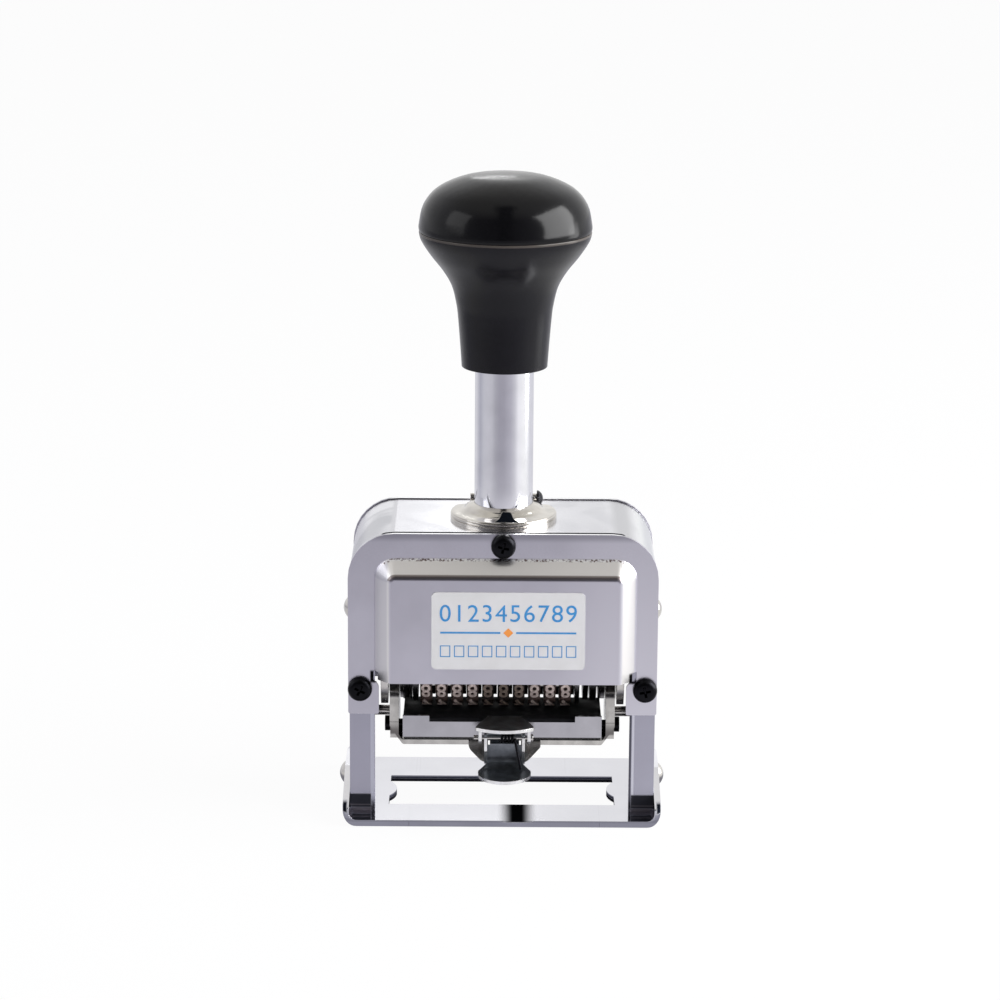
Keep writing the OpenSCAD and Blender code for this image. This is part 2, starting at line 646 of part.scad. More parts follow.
// Leaf under the crosshead whose fingers hold the ratchets
module detent_comb() color("silver") {
    leaf = crosshead_z - 0.6;
    at_axle() {
        translate([pack_left, -4, leaf]) cube([pack_right - pack_left, 9, 0.6]);
        for (i = [0 : 9]) translate([ratchet_middle(i) - 0.22, 0, 0]) yz_plate(0, 0.44)
            polygon([[-4, leaf + 0.6], [-4, leaf], [-5.2, ratchet_r - 0.9], [-4.4, ratchet_r - 0.55], [-2.6, leaf]]);
    }
}
function ratchet_middle(i) = wheel_first_x + i * wheel_pitch + type_w / 2 + ratchet_w / 2;

module pawl_rod() color("silver") translate([0, rod_y, axle_z + rod_above]) rod_x(-cheek_out, cheek_out, rod_r);

module return_springs() color("dimgray") {
    low = crosshead_top - 2.6;
    length = body_top - body_sheet - 1.6 - low;
    both_sides() translate([spring_x, 0, low + return_wire / 2])
        coil(return_coil_d / 2, return_wire / 2, return_turns, (length - return_wire) / return_turns, 16, 6);
}

module spring_pins() color("silver") both_sides() translate([spring_x, 0, body_top - body_sheet - 1.5]) {
    cylinder(h = 1.5, d = return_coil_d + 1.6);
}

// ---- type wheels ----

module number_wheel(i) color("rosybrown") {
    x = wheel_first_x + i * wheel_pitch;
    step = 360 / type_count;
    block = 0.74 * step / 2;
    root = type_r - type_gap_depth;
    side_disc_in = 0.6;
    polar = function (r, a) [r * sin(a), -r * cos(a)];
    at_axle() difference() {
        union() {
            yz_plate(x - type_w / 2, x + type_w / 2) polygon([for (k = [0 : type_count - 1])
                each [polar(root, k * step - block - 2), polar(type_r, k * step - block),
                    polar(type_r, k * step), polar(type_r, k * step + block), polar(root, k * step + block + 2)]]);
            rod_x(x - type_w / 2, x - type_w / 2 + side_disc_t, type_r - side_disc_in);
            yz_plate(x + type_w / 2, x + type_w / 2 + ratchet_w) polygon([for (k = [0 : type_count - 1])
                each [polar(ratchet_r, k * step), polar(ratchet_r - 0.4, k * step + step * 0.45),
                    polar(ratchet_r - 2, k * step + step * 0.9)]]);
        }
        rod_x(x - type_w, x + type_w, axle_bore);
    }
}

module drive_pawls() color("silver") translate([0, rod_y, axle_z + rod_above]) difference() {
    union() {
        rod_x(pack_left, pack_right, rod_r + 0.9);
        for (i = [0 : 9]) yz_plate(ratchet_middle(i) - 0.25, ratchet_middle(i) + 0.25)
            polygon([[-1.6, 1], [1.6, -1], [-3.6, -6.4], [-4.85, -5.95]]);
    }
    rod_x(pack_left - 1, pack_right + 1, rod_r + axle_clear);
}

module repeat_selector() color("silver") at_axle() {
    x0 = pack_right + 2.15;
    selector_r = 11.2;
    difference() {
        union() {
            yz_plate(x0, x0 + 1.3) polygon(rounded([[-4.4, -4.6, 4.2], [-4.4, 4.6, 4.2], [4, 4.6, 3],
                [18.6, -3.4, 1], [18.2, -6.2, 1.2], [4, -4.6, 2]]));
            rod_x(x0, x0 + 1.3, selector_r);
        }
        rod_x(x0 - 1, x0 + 3, axle_bore);
    }
}

// ---- pad carrier ----

module pad_bail() color("silver") {
    corner_x = 24.6;
    bar_rear = -5;
    notch_rear = -9.7;
    notch_half = 4.1;
    tongue_half = 8.9;
    outline = rounded([[-5, 5, 4.8], [-12.6, -6.5, 4.5], [-tray_front, bar_low - axle_z, 1],
        [-9.6, bar_low - axle_z, 0.8], [-7.5, bar_low - axle_z + 2.2, 1.5],
        [4.8, bar_low - axle_z + 2.2, 2.2], [5, 5, 4.8]]);
    difference() {
        union() {
            both_sides() at_axle() yz_plate(arm_x, arm_out) polygon(outline);
            xz_plate(-tray_front, bar_rear) polygon(rounded([[-arm_out, bar_top + 4.5, 0], [-arm_out, bar_top + 3.4, 0.8],
                [-corner_x, bar_low, 0.8], [corner_x, bar_low, 0.8], [arm_out, bar_top + 3.4, 0.8],
                [arm_out, bar_top + 4.5, 0], [arm_x, bar_top + 4.5, 0], [arm_x, bar_top + 1.3, 0.3], [corner_x + 0.2, bar_top, 0.4],
                [-corner_x - 0.2, bar_top, 0.4], [-arm_x, bar_top + 1.3, 0.3], [-arm_x, bar_top + 4.5, 0]]));
            intersection() {
                yz_plate(clip_x - 10, clip_x + 10) polygon([[-tray_front + 1, bar_top], [-tray_front, bar_top],
                    [-tray_front - 0.4, bar_top - 0.4], [-tray_front - 3.6, bar_low - 2.8],
                    [-tray_front - 3.1, bar_low - 3.4], [-tray_front + 1, bar_low]]);
                translate([clip_x, 0, 0]) xz_plate(-30, 0) polygon(rounded([[-tongue_half, bar_top, 0],
                    [-tongue_half, bar_low - 0.4, 2], [-5, bar_low - 3.6, 2.4], [5, bar_low - 3.6, 1.2],
                    [tongue_half, bar_low - 0.2, 0.6], [tongue_half, bar_top, 0]]));
            }
        }
        both_sides() {
            at_axle() rod_x(arm_x - 1, arm_out + 1, axle_bore);
            at_axle() translate([0, stud_y, -stud_below]) rod_x(arm_x - 1, arm_out + 1, stud_d / 2);
            at_axle() translate([0, tray_pin_y, -tray_pin_below]) rod_x(arm_x - 3, arm_out + 1, 1.1 + seat);
        }
        translate([clip_x - notch_half, -tray_front - 5, bar_low - 1.1])
            cube([2 * notch_half, tray_front + 5 + notch_rear, 6]);
        both_sides() xz_plate(-tray_front - 1, -9.2)
            polygon([[arm_out, bar_top + 3.5], [corner_x + 0.1, bar_low], [corner_x + 0.1, bar_low - 1],
                [arm_out + 1, bar_low - 1], [arm_out + 1, bar_top + 3.5]]);
    }
}

module cam_studs() color("silver") both_sides() at_axle() translate([0, stud_y, -stud_below])
    rod_x(arm_x, wall_in - 0.3, stud_d / 2);

module pad_tray() color("lightgray") {
    half = pad_w / 2 + 0.1;
    floor_z = tray_low + 0.9;
    wall_top = tray_low + tray_wall_h;
    difference() {
        union() {
            xz_plate(-tray_front, -tray_front + tray_t) polygon([[-half, tray_low], [-half, wall_top],
                [-18, wall_top], [-18, wall_top - tray_cut], [18, wall_top - tray_cut], [18, wall_top],
                [half, wall_top], [half, tray_low]]);
            translate([-half, -tray_front, floor_z]) cube([2 * half, tray_front + tray_rear, tray_t]);
            translate([-half, tray_rear - tray_t, floor_z]) cube([2 * half, tray_t, wall_top - tray_cut - floor_z]);
            both_sides() translate([half - tray_t, -tray_front, floor_z])
                cube([tray_t, tray_front + tray_rear, wall_top - tray_cut - floor_z]);
        }
        both_sides() at_axle() translate([0, tray_pin_y, -tray_pin_below]) rod_x(half - 2, half + 1, 1.1 + seat);
    }
}

module ink_pad() color([0.08, 0.08, 0.09]) {
    half = pad_w / 2;
    low = tray_low + 0.9 + tray_t + 0.05;
    rim = tray_low + tray_wall_h - tray_cut + 0.1;
    inner = half - tray_t;
    difference() {
        translate([-inner, -tray_front + tray_t + 0.05, low])
            cube([2 * inner, tray_front + tray_rear - 2 * tray_t - 0.1, pad_top - low]);
        both_sides() at_axle() translate([0, tray_pin_y, -tray_pin_below]) rod_x(inner - 1.5, half + 1, 1.5);
    }
    translate([-half, -tray_front + tray_t + 0.05, rim])
        cube([2 * half, tray_front + tray_rear - 2 * tray_t - 0.1, pad_top - rim]);
}

module tray_pins() color("silver") both_sides() at_axle() translate([0, tray_pin_y, -tray_pin_below]) {
    rod_x(pad_w / 2 - tray_t - 0.5, arm_out + 0.2, 1.1);
    rod_x(arm_out, arm_out + 1.3, 1.9);
}

module clip_bracket() color("slategray") translate([clip_x, 0, 0]) {
    plate = 0.85;
    rear = -tray_front - plate;
    tab_z = clip_pin_z + 2.85;
    arc_r = 11.6;
    arc_y = rear + 0.5;
    ear_r = 1.4;
    side = [[4.3, rear], [5.8, rear - 3.7], [6.95, rear - 7.2], [7.2, rear - 8.4]];
    difference() {
        union() {
            translate([0, 0, tab_z]) linear_extrude(plate) polygon(concat(
                side, [for (a = [36 : -6 : -36]) [arc_r * sin(a), arc_y - arc_r * cos(a)]],
                [for (i = [3 : -1 : 0]) [-side[i][0], side[i][1]]]));
            translate([-4.3, rear, tray_low + 0.2]) cube([8.6, plate, tab_z + plate - tray_low - 0.2]);
            for (s = [-6, 6]) yz_plate(s - 0.4, s + 0.4) polygon(rounded([[clip_pin_y - ear_r, clip_pin_z - ear_r, 1.3],
                [clip_pin_y - ear_r, tab_z + 0.4, 0], [clip_pin_y + ear_r, tab_z + 0.4, 0],
                [clip_pin_y + ear_r, clip_pin_z - ear_r, 1.3]]));
        }
        translate([0, clip_pin_y, clip_pin_z]) rod_x(-9, 9, clip_pin_r);
    }
}

module clip_pin() color("silver") translate([clip_x, clip_pin_y, clip_pin_z]) {
    rod_x(-7.6, 6.4, clip_pin_r);
    rod_x(6.4, 7, 0.9);
}

module clip_lever() color("slategray") translate([clip_x, clip_pin_y, 0]) {
    z = clip_pin_z;
    jaw_z = tray_low - 0.1;
    plate = 0.8;
    jaw_half = 3.6;
    thumb_y = -3.5;
    thumb_r = 6.5;
    strip = spline([[1.25, jaw_z - 0.4], [1.05, z - 4], [0.5, z - 6], [-1.1, z - 7.2], [-3.5, z - 7.85], [-10, z - 8]], 4);
    flare = [for (a = [10 : -10 : -190]) [thumb_r * cos(a), thumb_y + thumb_r * sin(a)]];
    difference() {
        union() {
            intersection() {
                yz_plate(-8, 8) polygon(band(strip, plate));
                linear_extrude(z) polygon(concat([[-4.3, 9], [4.3, 9], [4.3, 0.2]], flare, [[-4.3, 0.2]]));
            }
            translate([-jaw_half, 1.25, jaw_z - plate]) cube([2 * jaw_half, 7.25, plate]);
            for (s = [-4.65, 4.65]) yz_plate(s - 0.35, s + 0.35) polygon(rounded([[-1.4, z + 1.4, 1.3],
                [1.4, z + 1.4, 1.3], [1.9, z - 5.6, 0.3], [-0.4, z - 6.6, 0], [-1.5, z - 3, 1]]));
        }
        translate([0, 0, z]) rod_x(-9, 9, clip_pin_r + axle_clear);
    }
}

module clip_spring() color("black") translate([clip_x - 0.85, clip_pin_y, clip_pin_z]) {
    turns = 4;
    pitch = clip_wire + 0.15;
    rotate([0, 90, 0]) rotate(90) coil(1.1, clip_wire / 2, turns, pitch, 14, 6);
    hull() {
        translate([turns * pitch, -1.1, -0.3]) sphere(d = clip_wire, $fn = 12);
        translate([turns * pitch + 1.4, -2.4, -7.1]) sphere(d = clip_wire, $fn = 12);
    }
}

base_plate();
main_frame();
front_cover();
rear_cover();
front_cover_screws();
rear_cover_screws();
label();
collar();
collar_nut();
ear_rivets();
side_screws();
left_cam_plate();
right_cam_plate();
handle_tube();
knob_grip();
knob_cap();
handle_stud();
stop_ring();
buffer_washer();
crosshead();
left_cheek();
right_cheek();
cheek_screws();
guide_shoes();
wheel_shaft();
shaft_nuts();
shaft_bushes();
detent_comb();
pawl_rod();
return_springs();
spring_pins();
number_wheel(0);  // number_wheel_1
number_wheel(1);  // number_wheel_2
number_wheel(2);  // number_wheel_3
number_wheel(3);  // number_wheel_4
number_wheel(4);  // number_wheel_5
number_wheel(5);  // number_wheel_6
number_wheel(6);  // number_wheel_7
number_wheel(7);  // number_wheel_8
number_wheel(8);  // number_wheel_9
number_wheel(9);  // number_wheel_10
drive_pawls();
pad_bail();
cam_studs();
pad_tray();
ink_pad();
tray_pins();
clip_bracket();
clip_pin();
clip_lever();
clip_spring();
lock_pin();
lock_button();
repeat_selector();
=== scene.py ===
# Self-inking numbering machine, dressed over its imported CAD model.
# Everything is in metres in the CAD frame: +Z up, the labelled cover faces -Y.

import json
import math
from contextlib import contextmanager

import bmesh
import bpy
from mathutils import Matrix, Vector

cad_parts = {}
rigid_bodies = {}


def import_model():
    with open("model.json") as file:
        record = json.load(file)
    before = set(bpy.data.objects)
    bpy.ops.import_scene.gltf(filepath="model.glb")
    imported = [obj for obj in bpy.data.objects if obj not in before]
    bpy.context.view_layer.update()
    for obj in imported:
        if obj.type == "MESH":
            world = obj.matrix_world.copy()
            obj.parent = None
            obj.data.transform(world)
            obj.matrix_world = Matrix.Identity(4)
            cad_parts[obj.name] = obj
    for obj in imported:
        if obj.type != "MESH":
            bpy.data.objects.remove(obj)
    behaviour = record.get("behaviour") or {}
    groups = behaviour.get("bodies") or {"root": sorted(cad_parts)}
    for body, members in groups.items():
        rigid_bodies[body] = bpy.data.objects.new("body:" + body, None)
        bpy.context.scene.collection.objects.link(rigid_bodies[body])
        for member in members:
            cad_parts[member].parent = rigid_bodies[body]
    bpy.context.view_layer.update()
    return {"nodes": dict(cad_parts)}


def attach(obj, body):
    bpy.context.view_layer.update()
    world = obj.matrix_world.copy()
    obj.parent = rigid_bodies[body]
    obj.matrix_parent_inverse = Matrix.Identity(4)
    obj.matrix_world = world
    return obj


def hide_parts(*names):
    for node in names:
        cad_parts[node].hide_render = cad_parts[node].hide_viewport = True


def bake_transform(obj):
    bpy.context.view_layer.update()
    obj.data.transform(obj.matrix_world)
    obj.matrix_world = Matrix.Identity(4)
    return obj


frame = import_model()
scene = bpy.context.scene
MM = 0.001

# ---- Camera, floor and lamps ----
# A long lens looks a little down on the front. The table and the room are white,
# but what polished metal sees of them is uneven: darker close in front of the
# machine and behind the camera, brighter to the right and behind.


def standing(place, way, side="Y"):
    """Turns a thing's Z along a way at a place."""
    return Matrix.Translation(place) @ way.to_track_quat("Z", side).to_matrix().to_4x4()


camera_turn, camera_tilt, camera_roll = (math.radians(a) for a in (-0.15, 14.35, 0.4))
camera_distance, aim_height = 0.85, 76.7 * MM
camera_back = Vector((math.sin(camera_turn) * math.cos(camera_tilt),
                      -math.cos(camera_turn) * math.cos(camera_tilt),
                      math.sin(camera_tilt)))
lens = bpy.data.cameras.new("camera")
lens.lens, lens.shift_x, lens.clip_start = 123.9, -0.0036, 0.05
camera = bpy.data.objects.new("camera", lens)
scene.collection.objects.link(camera)
camera.matrix_world = (
    standing(Vector((0, 0, aim_height)) + camera_distance * camera_back, camera_back)
    @ Matrix.Rotation(camera_roll, 4, "Z"))
scene.camera = camera
scene.view_settings.view_transform = "Standard"


def hue(code):
    """Linear colour of an sRGB hex code."""
    parts = [int(code[i:i + 2], 16) / 255 for i in (1, 3, 5)]
    return tuple(p / 12.92 if p <= 0.04045 else ((p + 0.055) / 1.055) ** 2.4 for p in parts) + (1,)


def add_node(tree, kind, inputs=None, **settings):
    """A node with its settings and links; a shader node's kind stands without its prefix.
    Inputs go by name or by place among those in use, and take a value, a colour
    code, an output, or a whole node for the first output it has in use."""
    node = tree.nodes.new(kind if "Node" in kind else "ShaderNode" + kind)
    for name, value in settings.items():
        setattr(node, name, value)
    sockets = [socket for socket in node.inputs if socket.enabled]
    for key, value in (inputs or {}).items():
        socket = next(s for place, s in enumerate(sockets) if key in (place, s.name))
        if isinstance(value, bpy.types.Node):
            value = next(s for s in value.outputs if s.enabled)
        if isinstance(value, bpy.types.NodeSocket):
            tree.links.new(value, socket)
        else:
            socket.default_value = hue(value) if isinstance(value, str) else value
    return node


SMOOTH = {"interpolation_type": "SMOOTHSTEP"}


def new_material(name):
    """An empty material, its tree, and the places on the object."""
    material = bpy.data.materials.new(name)
    material.use_nodes = True
    tree = material.node_tree
    tree.nodes.clear()
    return material, tree, add_node(tree, "TexCoord").outputs["Object"]


def mesh_object(name, mesh, material):
    piece = bpy.data.objects.new(name, mesh)
    scene.collection.objects.link(piece)
    mesh.materials.clear()
    mesh.materials.append(material)
    return piece


def around_ramp(across, ahead, stops):
    """Tone by the compass way from the machine: 0.5 is straight ahead, 0.75 to the right."""
    tree = across.id_data
    forward = add_node(tree, "Math", {0: ahead, 1: -1.0}, operation="MULTIPLY")
    turn = add_node(tree, "Math", {0: across, 1: forward}, operation="ARCTAN2")
    part = add_node(tree, "MapRange", {"Value": turn, "From Min": -math.pi, "From Max": math.pi})
    ramp = add_node(tree, "ValToRGB", {0: part})
    marks = ramp.color_ramp.elements
    marks.remove(marks[1])
    marks[0].position, marks[0].color = stops[0][0], hue(stops[0][1])
    for place, code in stops[1:]:
        marks.new(place).color = hue(code)
    return ramp


table_paint, tree, place = new_material("white table top")
spot = add_node(tree, "SeparateXYZ", {0: place}).outputs
near_tone = around_ramp(spot["X"], spot["Y"], (
    (0.0, "#f0f0f4"), (0.2, "#e2e2e8"), (0.27, "#eeedec"), (0.36, "#e6e5ea"), (0.44, "#e2e1e7"),
    (0.5, "#e7e6eb"), (0.58, "#f0eff3"), (0.66, "#fafafc"), (0.74, "#ffffff"), (0.85, "#ffffff"),
    (1.0, "#f0f0f4")))
far_tone = around_ramp(spot["X"], spot["Y"], (
    (0.0, "#d8d8de"), (0.117, "#dadadf"), (0.2, "#b1b1bc"), (0.263, "#c7c7ce"), (0.315, "#c9c8cf"),
    (0.362, "#c4c3ca"), (0.406, "#aeadb5"), (0.45, "#a4a2ac"), (0.5, "#a6a4ae"), (0.572, "#bab8c2"),
    (0.615, "#d0cfd6"), (0.66, "#f6f5f9"), (0.72, "#ffffff"), (0.77, "#ffffff"), (0.84, "#e0e0e6"),
    (1.0, "#d8d8de")))
away = add_node(tree, "VectorMath", {0: place}, operation="LENGTH")
far = add_node(tree, "MapRange", {"Value": away, "From Min": 0.27, "From Max": 0.34}, **SMOOTH)
table_tone = add_node(tree, "Mix", {0: far, 1: near_tone, 2: far_tone}, data_type="RGBA")
# The machine's own shade on the table, as its underside mirrors it.
in_front = add_node(tree, "MapRange", {"Value": spot["Y"], "From Min": -0.036, "From Max": -0.028},
                    **SMOOTH)
beneath = add_node(tree, "MapRange", {"Value": away, "From Min": 0.065, "From Max": 0.05}, **SMOOTH)
shaded = add_node(tree, "Math", {0: in_front, 1: beneath}, operation="MULTIPLY")
table_seen = add_node(tree, "Mix", {0: shaded, 1: table_tone, 2: "#8f8f9a"}, data_type="RGBA")
mirrored = add_node(tree, "Emission", {"Color": table_seen})
# The camera sees paper that is nearly as white as the room, with a breath of shadow.
paper = add_node(tree, "BsdfDiffuse", {"Color": "#e6e6e8"})
white = add_node(tree, "Emission", {"Color": (1, 1, 1, 1)})
rays = add_node(tree, "LightPath").outputs
shown = add_node(tree, "Math", {0: rays["Is Camera Ray"], 1: 0.95}, operation="MULTIPLY")
floor_mix = add_node(tree, "MixShader", {0: shown, 1: paper, 2: white})
gloss_mix = add_node(tree, "MixShader", {0: rays["Is Glossy Ray"], 1: floor_mix, 2: mirrored})
add_node(tree, "OutputMaterial", {0: gloss_mix})
table_top = -0.2 * MM
table_mesh = bpy.data.meshes.new("table_top")
table_mesh.from_pydata([(x, y, table_top) for x, y in ((-3, -3), (3, -3), (3, 3), (-3, 3))], [], [range(4)])
mesh_object("table_top", table_mesh, table_paint)

world = bpy.data.worlds.new("white studio")
scene.world = world
world.use_nodes = True
tree = world.node_tree
tree.nodes.clear()
way = add_node(tree, "SeparateXYZ", {0: add_node(tree, "TexCoord").outputs["Generated"]}).outputs
wall_tone = around_ramp(way["X"], way["Y"], (
    (0.0, "#ffffff"), (0.18, "#f0f0f4"), (0.27, "#cfd0d6"), (0.36, "#8d8d95"), (0.44, "#5a585f"),
    (0.54, "#5a585f"), (0.63, "#96959d"), (0.71, "#eeeef0"), (0.8, "#ffffff"), (1.0, "#ffffff")))
ceiling = add_node(tree, "MapRange", {"Value": way["Z"], "From Min": 0.5, "From Max": 0.95}, **SMOOTH)
room = add_node(tree, "Mix", {0: ceiling, 1: wall_tone, 2: "#dad8d4"}, data_type="RGBA")
# The dark camera side stands as a tall narrow shape straight ahead.
aside = add_node(tree, "Math", {0: way["X"]}, operation="ABSOLUTE")
narrow = add_node(tree, "MapRange", {"Value": aside, "From Min": 0.22, "From Max": 0.1}, **SMOOTH)
ahead = add_node(tree, "MapRange", {"Value": way["Y"], "From Min": -0.12, "From Max": -0.3}, **SMOOTH)
camera_side = add_node(tree, "Math", {0: narrow, 1: ahead}, operation="MULTIPLY")
room = add_node(tree, "Mix", {0: camera_side, 1: room, 2: "#1b1a1d"}, data_type="RGBA")
soft = add_node(tree, "Background", {"Color": "#d2d2d6", "Strength": 0.8})
mirror_view = add_node(tree, "Background", {"Color": room})
white = add_node(tree, "Background", {"Color": (1, 1, 1, 1)})
rays = add_node(tree, "LightPath").outputs
glossy = add_node(tree, "MixShader", {0: rays["Is Glossy Ray"], 1: soft, 2: mirror_view})
sky = add_node(tree, "MixShader", {0: rays["Is Camera Ray"], 1: glossy, 2: white})
add_node(tree, "OutputWorld", {0: sky})

for name, place, aim, width, height, power in (
        ("left lamp", (-0.80, -0.26, 0.50), 0.12, 0.50, 0.55, 1.3),
        ("right lamp", (0.86, -0.17, 0.50), 0.12, 0.92, 0.76, 17.5),
        ("rear strip", (-0.03, 1.1, 0.47), 0.15, 0.11, 0.035, 0.07),
        ("low right strip", (0.42, 0.08, 0.085), 0.085, 0.14, 0.16, 0.26)):
    lamp = bpy.data.lights.new(name, "AREA")
    lamp.shape = "RECTANGLE"
    lamp.size, lamp.size_y, lamp.energy = width, height, power
    holder = bpy.data.objects.new(name, lamp)
    scene.collection.objects.link(holder)
    holder.matrix_world = standing(place, Vector(place) - Vector((0, 0, aim)))

# ---- Base plate ----
# Steel sheet with a long window, its ends folded up into two ears. Polished and
# chrome plated, so it mirrors the room; its rails show the faint tool lines of
# the window punch, and the front rail carries a painted reflection of the dark pad above it.


def metal(name, code, roughness, grain_mm, grain_depth, stretch=(1, 1, 1), cloud=0.04, cloud_mm=11):
    """Bare or plated metal: fine grain in its sheen and relief, faint clouds in its tone."""
    material, tree, place = new_material(name)
    spread = add_node(tree, "Mapping", {"Vector": place, "Scale": stretch})
    grain = add_node(tree, "TexNoise", {"Vector": spread, "Scale": 1 / (grain_mm * MM), "Detail": 3,
                                        "Roughness": 0.6})
    clouds = add_node(tree, "TexNoise", {"Vector": place, "Scale": 1 / (cloud_mm * MM), "Detail": 3})
    bands = add_node(tree, "MapRange", {"Value": clouds, "From Min": 0.3, "From Max": 0.7})
    dark, light = (tuple(min(c * part, 1) for c in hue(code)[:3]) + (1,) for part in (1 - cloud, 1 + cloud))
    tone = add_node(tree, "Mix", {0: bands, 1: dark, 2: light}, data_type="RGBA")
    rough = add_node(tree, "MapRange", {"Value": grain, "To Min": roughness * 0.8,
                                        "To Max": roughness * 1.25})
    relief = add_node(tree, "Bump", {"Height": grain, "Strength": 0.5, "Distance": grain_depth * MM})
    skin = add_node(tree, "BsdfPrincipled", {"Base Color": tone, "Metallic": 1.0, "Roughness": rough,
                                             "Normal": relief})
    add_node(tree, "OutputMaterial", {0: skin})
    return material


def where(material):
    """The object's x, y and z in a material, and all three as one place."""
    place = add_node(material.node_tree, "TexCoord").outputs["Object"]
    return *add_node(material.node_tree, "SeparateXYZ", {0: place}).outputs, place


def zone(*spans, share=1.0, strength=1.0):
    """A share that is 1 inside every span, times another share and a strength.
    A span is (length, low, high, softness of its ends) in millimetres."""
    tree = spans[0][0].id_data
    share = add_node(tree, "Math", {0: share, 1: strength}, operation="MULTIPLY")
    for value, low, high, soft in spans:
        for start, end in ((low - soft, low + soft), (high + soft, high - soft)):
            edge = add_node(tree, "MapRange", {"Value": value, "From Min": start * MM,
                                               "From Max": end * MM}, **SMOOTH)
            share = add_node(tree, "Math", {0: share, 1: edge}, operation="MULTIPLY")
    return share


def left_over(share, whole=1.0):
    return add_node(share.id_data, "Math", {0: whole, 1: share}, operation="SUBTRACT")


def retone(material, *tones):
    """Lays other tones over a material, each a colour code and the share where it shows."""
    tree = material.node_tree
    base = tree.nodes["Principled BSDF"].inputs["Base Color"]
    for share, code in tones:
        below = base.links[0].from_socket
        over = add_node(tree, "Mix", {0: share, 1: below, 2: code}, data_type="RGBA")
        tree.links.new(over.outputs[2], base)


def still(material, *tones):
    """Holds a metal at such tones also at a grazing look, where it would mirror."""
    tree = material.node_tree
    skin = tree.nodes["Principled BSDF"]
    retone(material, *tones)
    mirror = 1.0
    for share, code in tones:
        mirror = add_node(tree, "Math", {0: mirror, 1: left_over(share)}, operation="MULTIPLY")
    squared = add_node(tree, "Math", {0: mirror, 1: mirror}, operation="MULTIPLY")
    level = add_node(tree, "Math", {0: squared, 1: 0.5}, operation="MULTIPLY")
    tree.links.new(mirror.outputs[0], skin.inputs["Metallic"])
    tree.links.new(level.outputs[0], skin.inputs["Specular IOR Level"])


def finish_edges(piece, angle=35):
    """Smooth shading that stays crisp at real edges."""
    piece.data.shade_smooth()
    piece.data.set_sharp_from_angle(angle=math.radians(angle))


def bake(piece):
    """Turns a piece and its live modifiers into a plain mesh."""
    seen = piece.evaluated_get(bpy.context.evaluated_depsgraph_get())
    old, piece.data = piece.data, bpy.data.meshes.new_from_object(seen)
    piece.modifiers.clear()
    bpy.data.meshes.remove(old)
    return piece


def part_of(piece, body, slot, *nodes):
    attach(piece, body)
    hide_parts(*nodes)


@contextmanager
def reshaped(mesh):
    """Opens a mesh for changes and writes them back to it."""
    shape = bmesh.new()
    shape.from_mesh(mesh)
    yield shape
    shape.to_mesh(mesh)
    shape.free()


def merged_copy(node, name, material):
    """A copy of a CAD node with its loose triangles joined into whole faces."""
    mesh = frame["nodes"][node].data.copy()
    mesh.name = name
    with reshaped(mesh) as shape:
        bmesh.ops.remove_doubles(shape, verts=shape.verts, dist=0.000002)
        bmesh.ops.dissolve_limit(shape, angle_limit=math.radians(0.6), verts=shape.verts,
                                 edges=shape.edges)
    return mesh_object(name, mesh, material)


def break_edges(piece, edge_mm, angle, edge_material=-1):
    """Rounds a piece's sharp edges and keeps its flat faces flat to the light."""
    bevel = piece.modifiers.new("broken edges", "BEVEL")
    bevel.width, bevel.segments, bevel.material = edge_mm * MM, 2, edge_material
    bevel.limit_method, bevel.angle_limit = "ANGLE", math.radians(angle)
    piece.modifiers.new("flat faces stay flat", "WEIGHTED_NORMAL").keep_sharp = True
    return bake(piece)


def eased(node, name, material, slot, body, edge_mm, angle=28, smooth=35):
    """A copy of a CAD node whose sharp edges are broken, as on the real pressed or turned piece."""
    piece = merged_copy(node, name, material)
    finish_edges(piece, smooth)
    part_of(break_edges(piece, edge_mm, angle), body, slot, node)


# Mirror chrome over polished steel: crisp reflections with a breath of haze.
chrome = metal("polished chrome plate", "#ededf2", 0.09, 0.35, 0.002, cloud=0.05)
x, y, z, place = where(chrome)
front_rail, rear_rail, top_side = (y, -30, -12, 0.2), (y, 12, 30, 0.2), (z, 1.2, 1.9, 0.2)
punch_lines = ((front_rail, -22.8), (front_rail, 24.0), (rear_rail, -21.8), (rear_rail, -20.9),
               (rear_rail, 16.3))
for rail, line in punch_lines:
    retone(chrome, (zone(rail, (x, line - 0.05, line + 0.05, 0.09), strength=0.55), "#77767f"))
# Painted shade: the top is toned a little darker and mottled, dimming what it mirrors.
top_shade_mottle = add_node(chrome.node_tree, "TexNoise", {"Vector": place, "Scale": 1 / (9 * MM), "Detail": 3})
retone(chrome, (zone(top_side, strength=0.8), "#d9d9de"),
       (zone(top_side, share=top_shade_mottle, strength=0.5), "#c9c9d0"))
# Painted reflection and shade, kept dark also at a grazing look: the pad mirrored
# in the front rail, the ears' front and the window's cut sides.
pad_mirrored = zone(front_rail, top_side, (x, 0.7, 6.9, 2.0))
ear_edges = left_over(zone((x, -38.0, 38.0, 0.3)), whole=zone((x, -39.02, 39.02, 0.05)))
ear_front = zone((z, 3.3, 5.5, 0.3), (y, -25, -17, 0.5), share=ear_edges)
window = (x, -28.7, 28.7, 0.1), (y, -13, 13, 0.1)
still(chrome, (pad_mirrored, "#050506"), (ear_front, "#10141c"),
      (zone(*window, (z, 0.8, 1.32, 0.15)), "#585b6c"), (zone(*window, (z, -0.5, 0.8, 0.15)), "#2f2f39"))
eased("base_plate", "base_plate_sheet", chrome, "polished_chrome", "frame", 0.35)
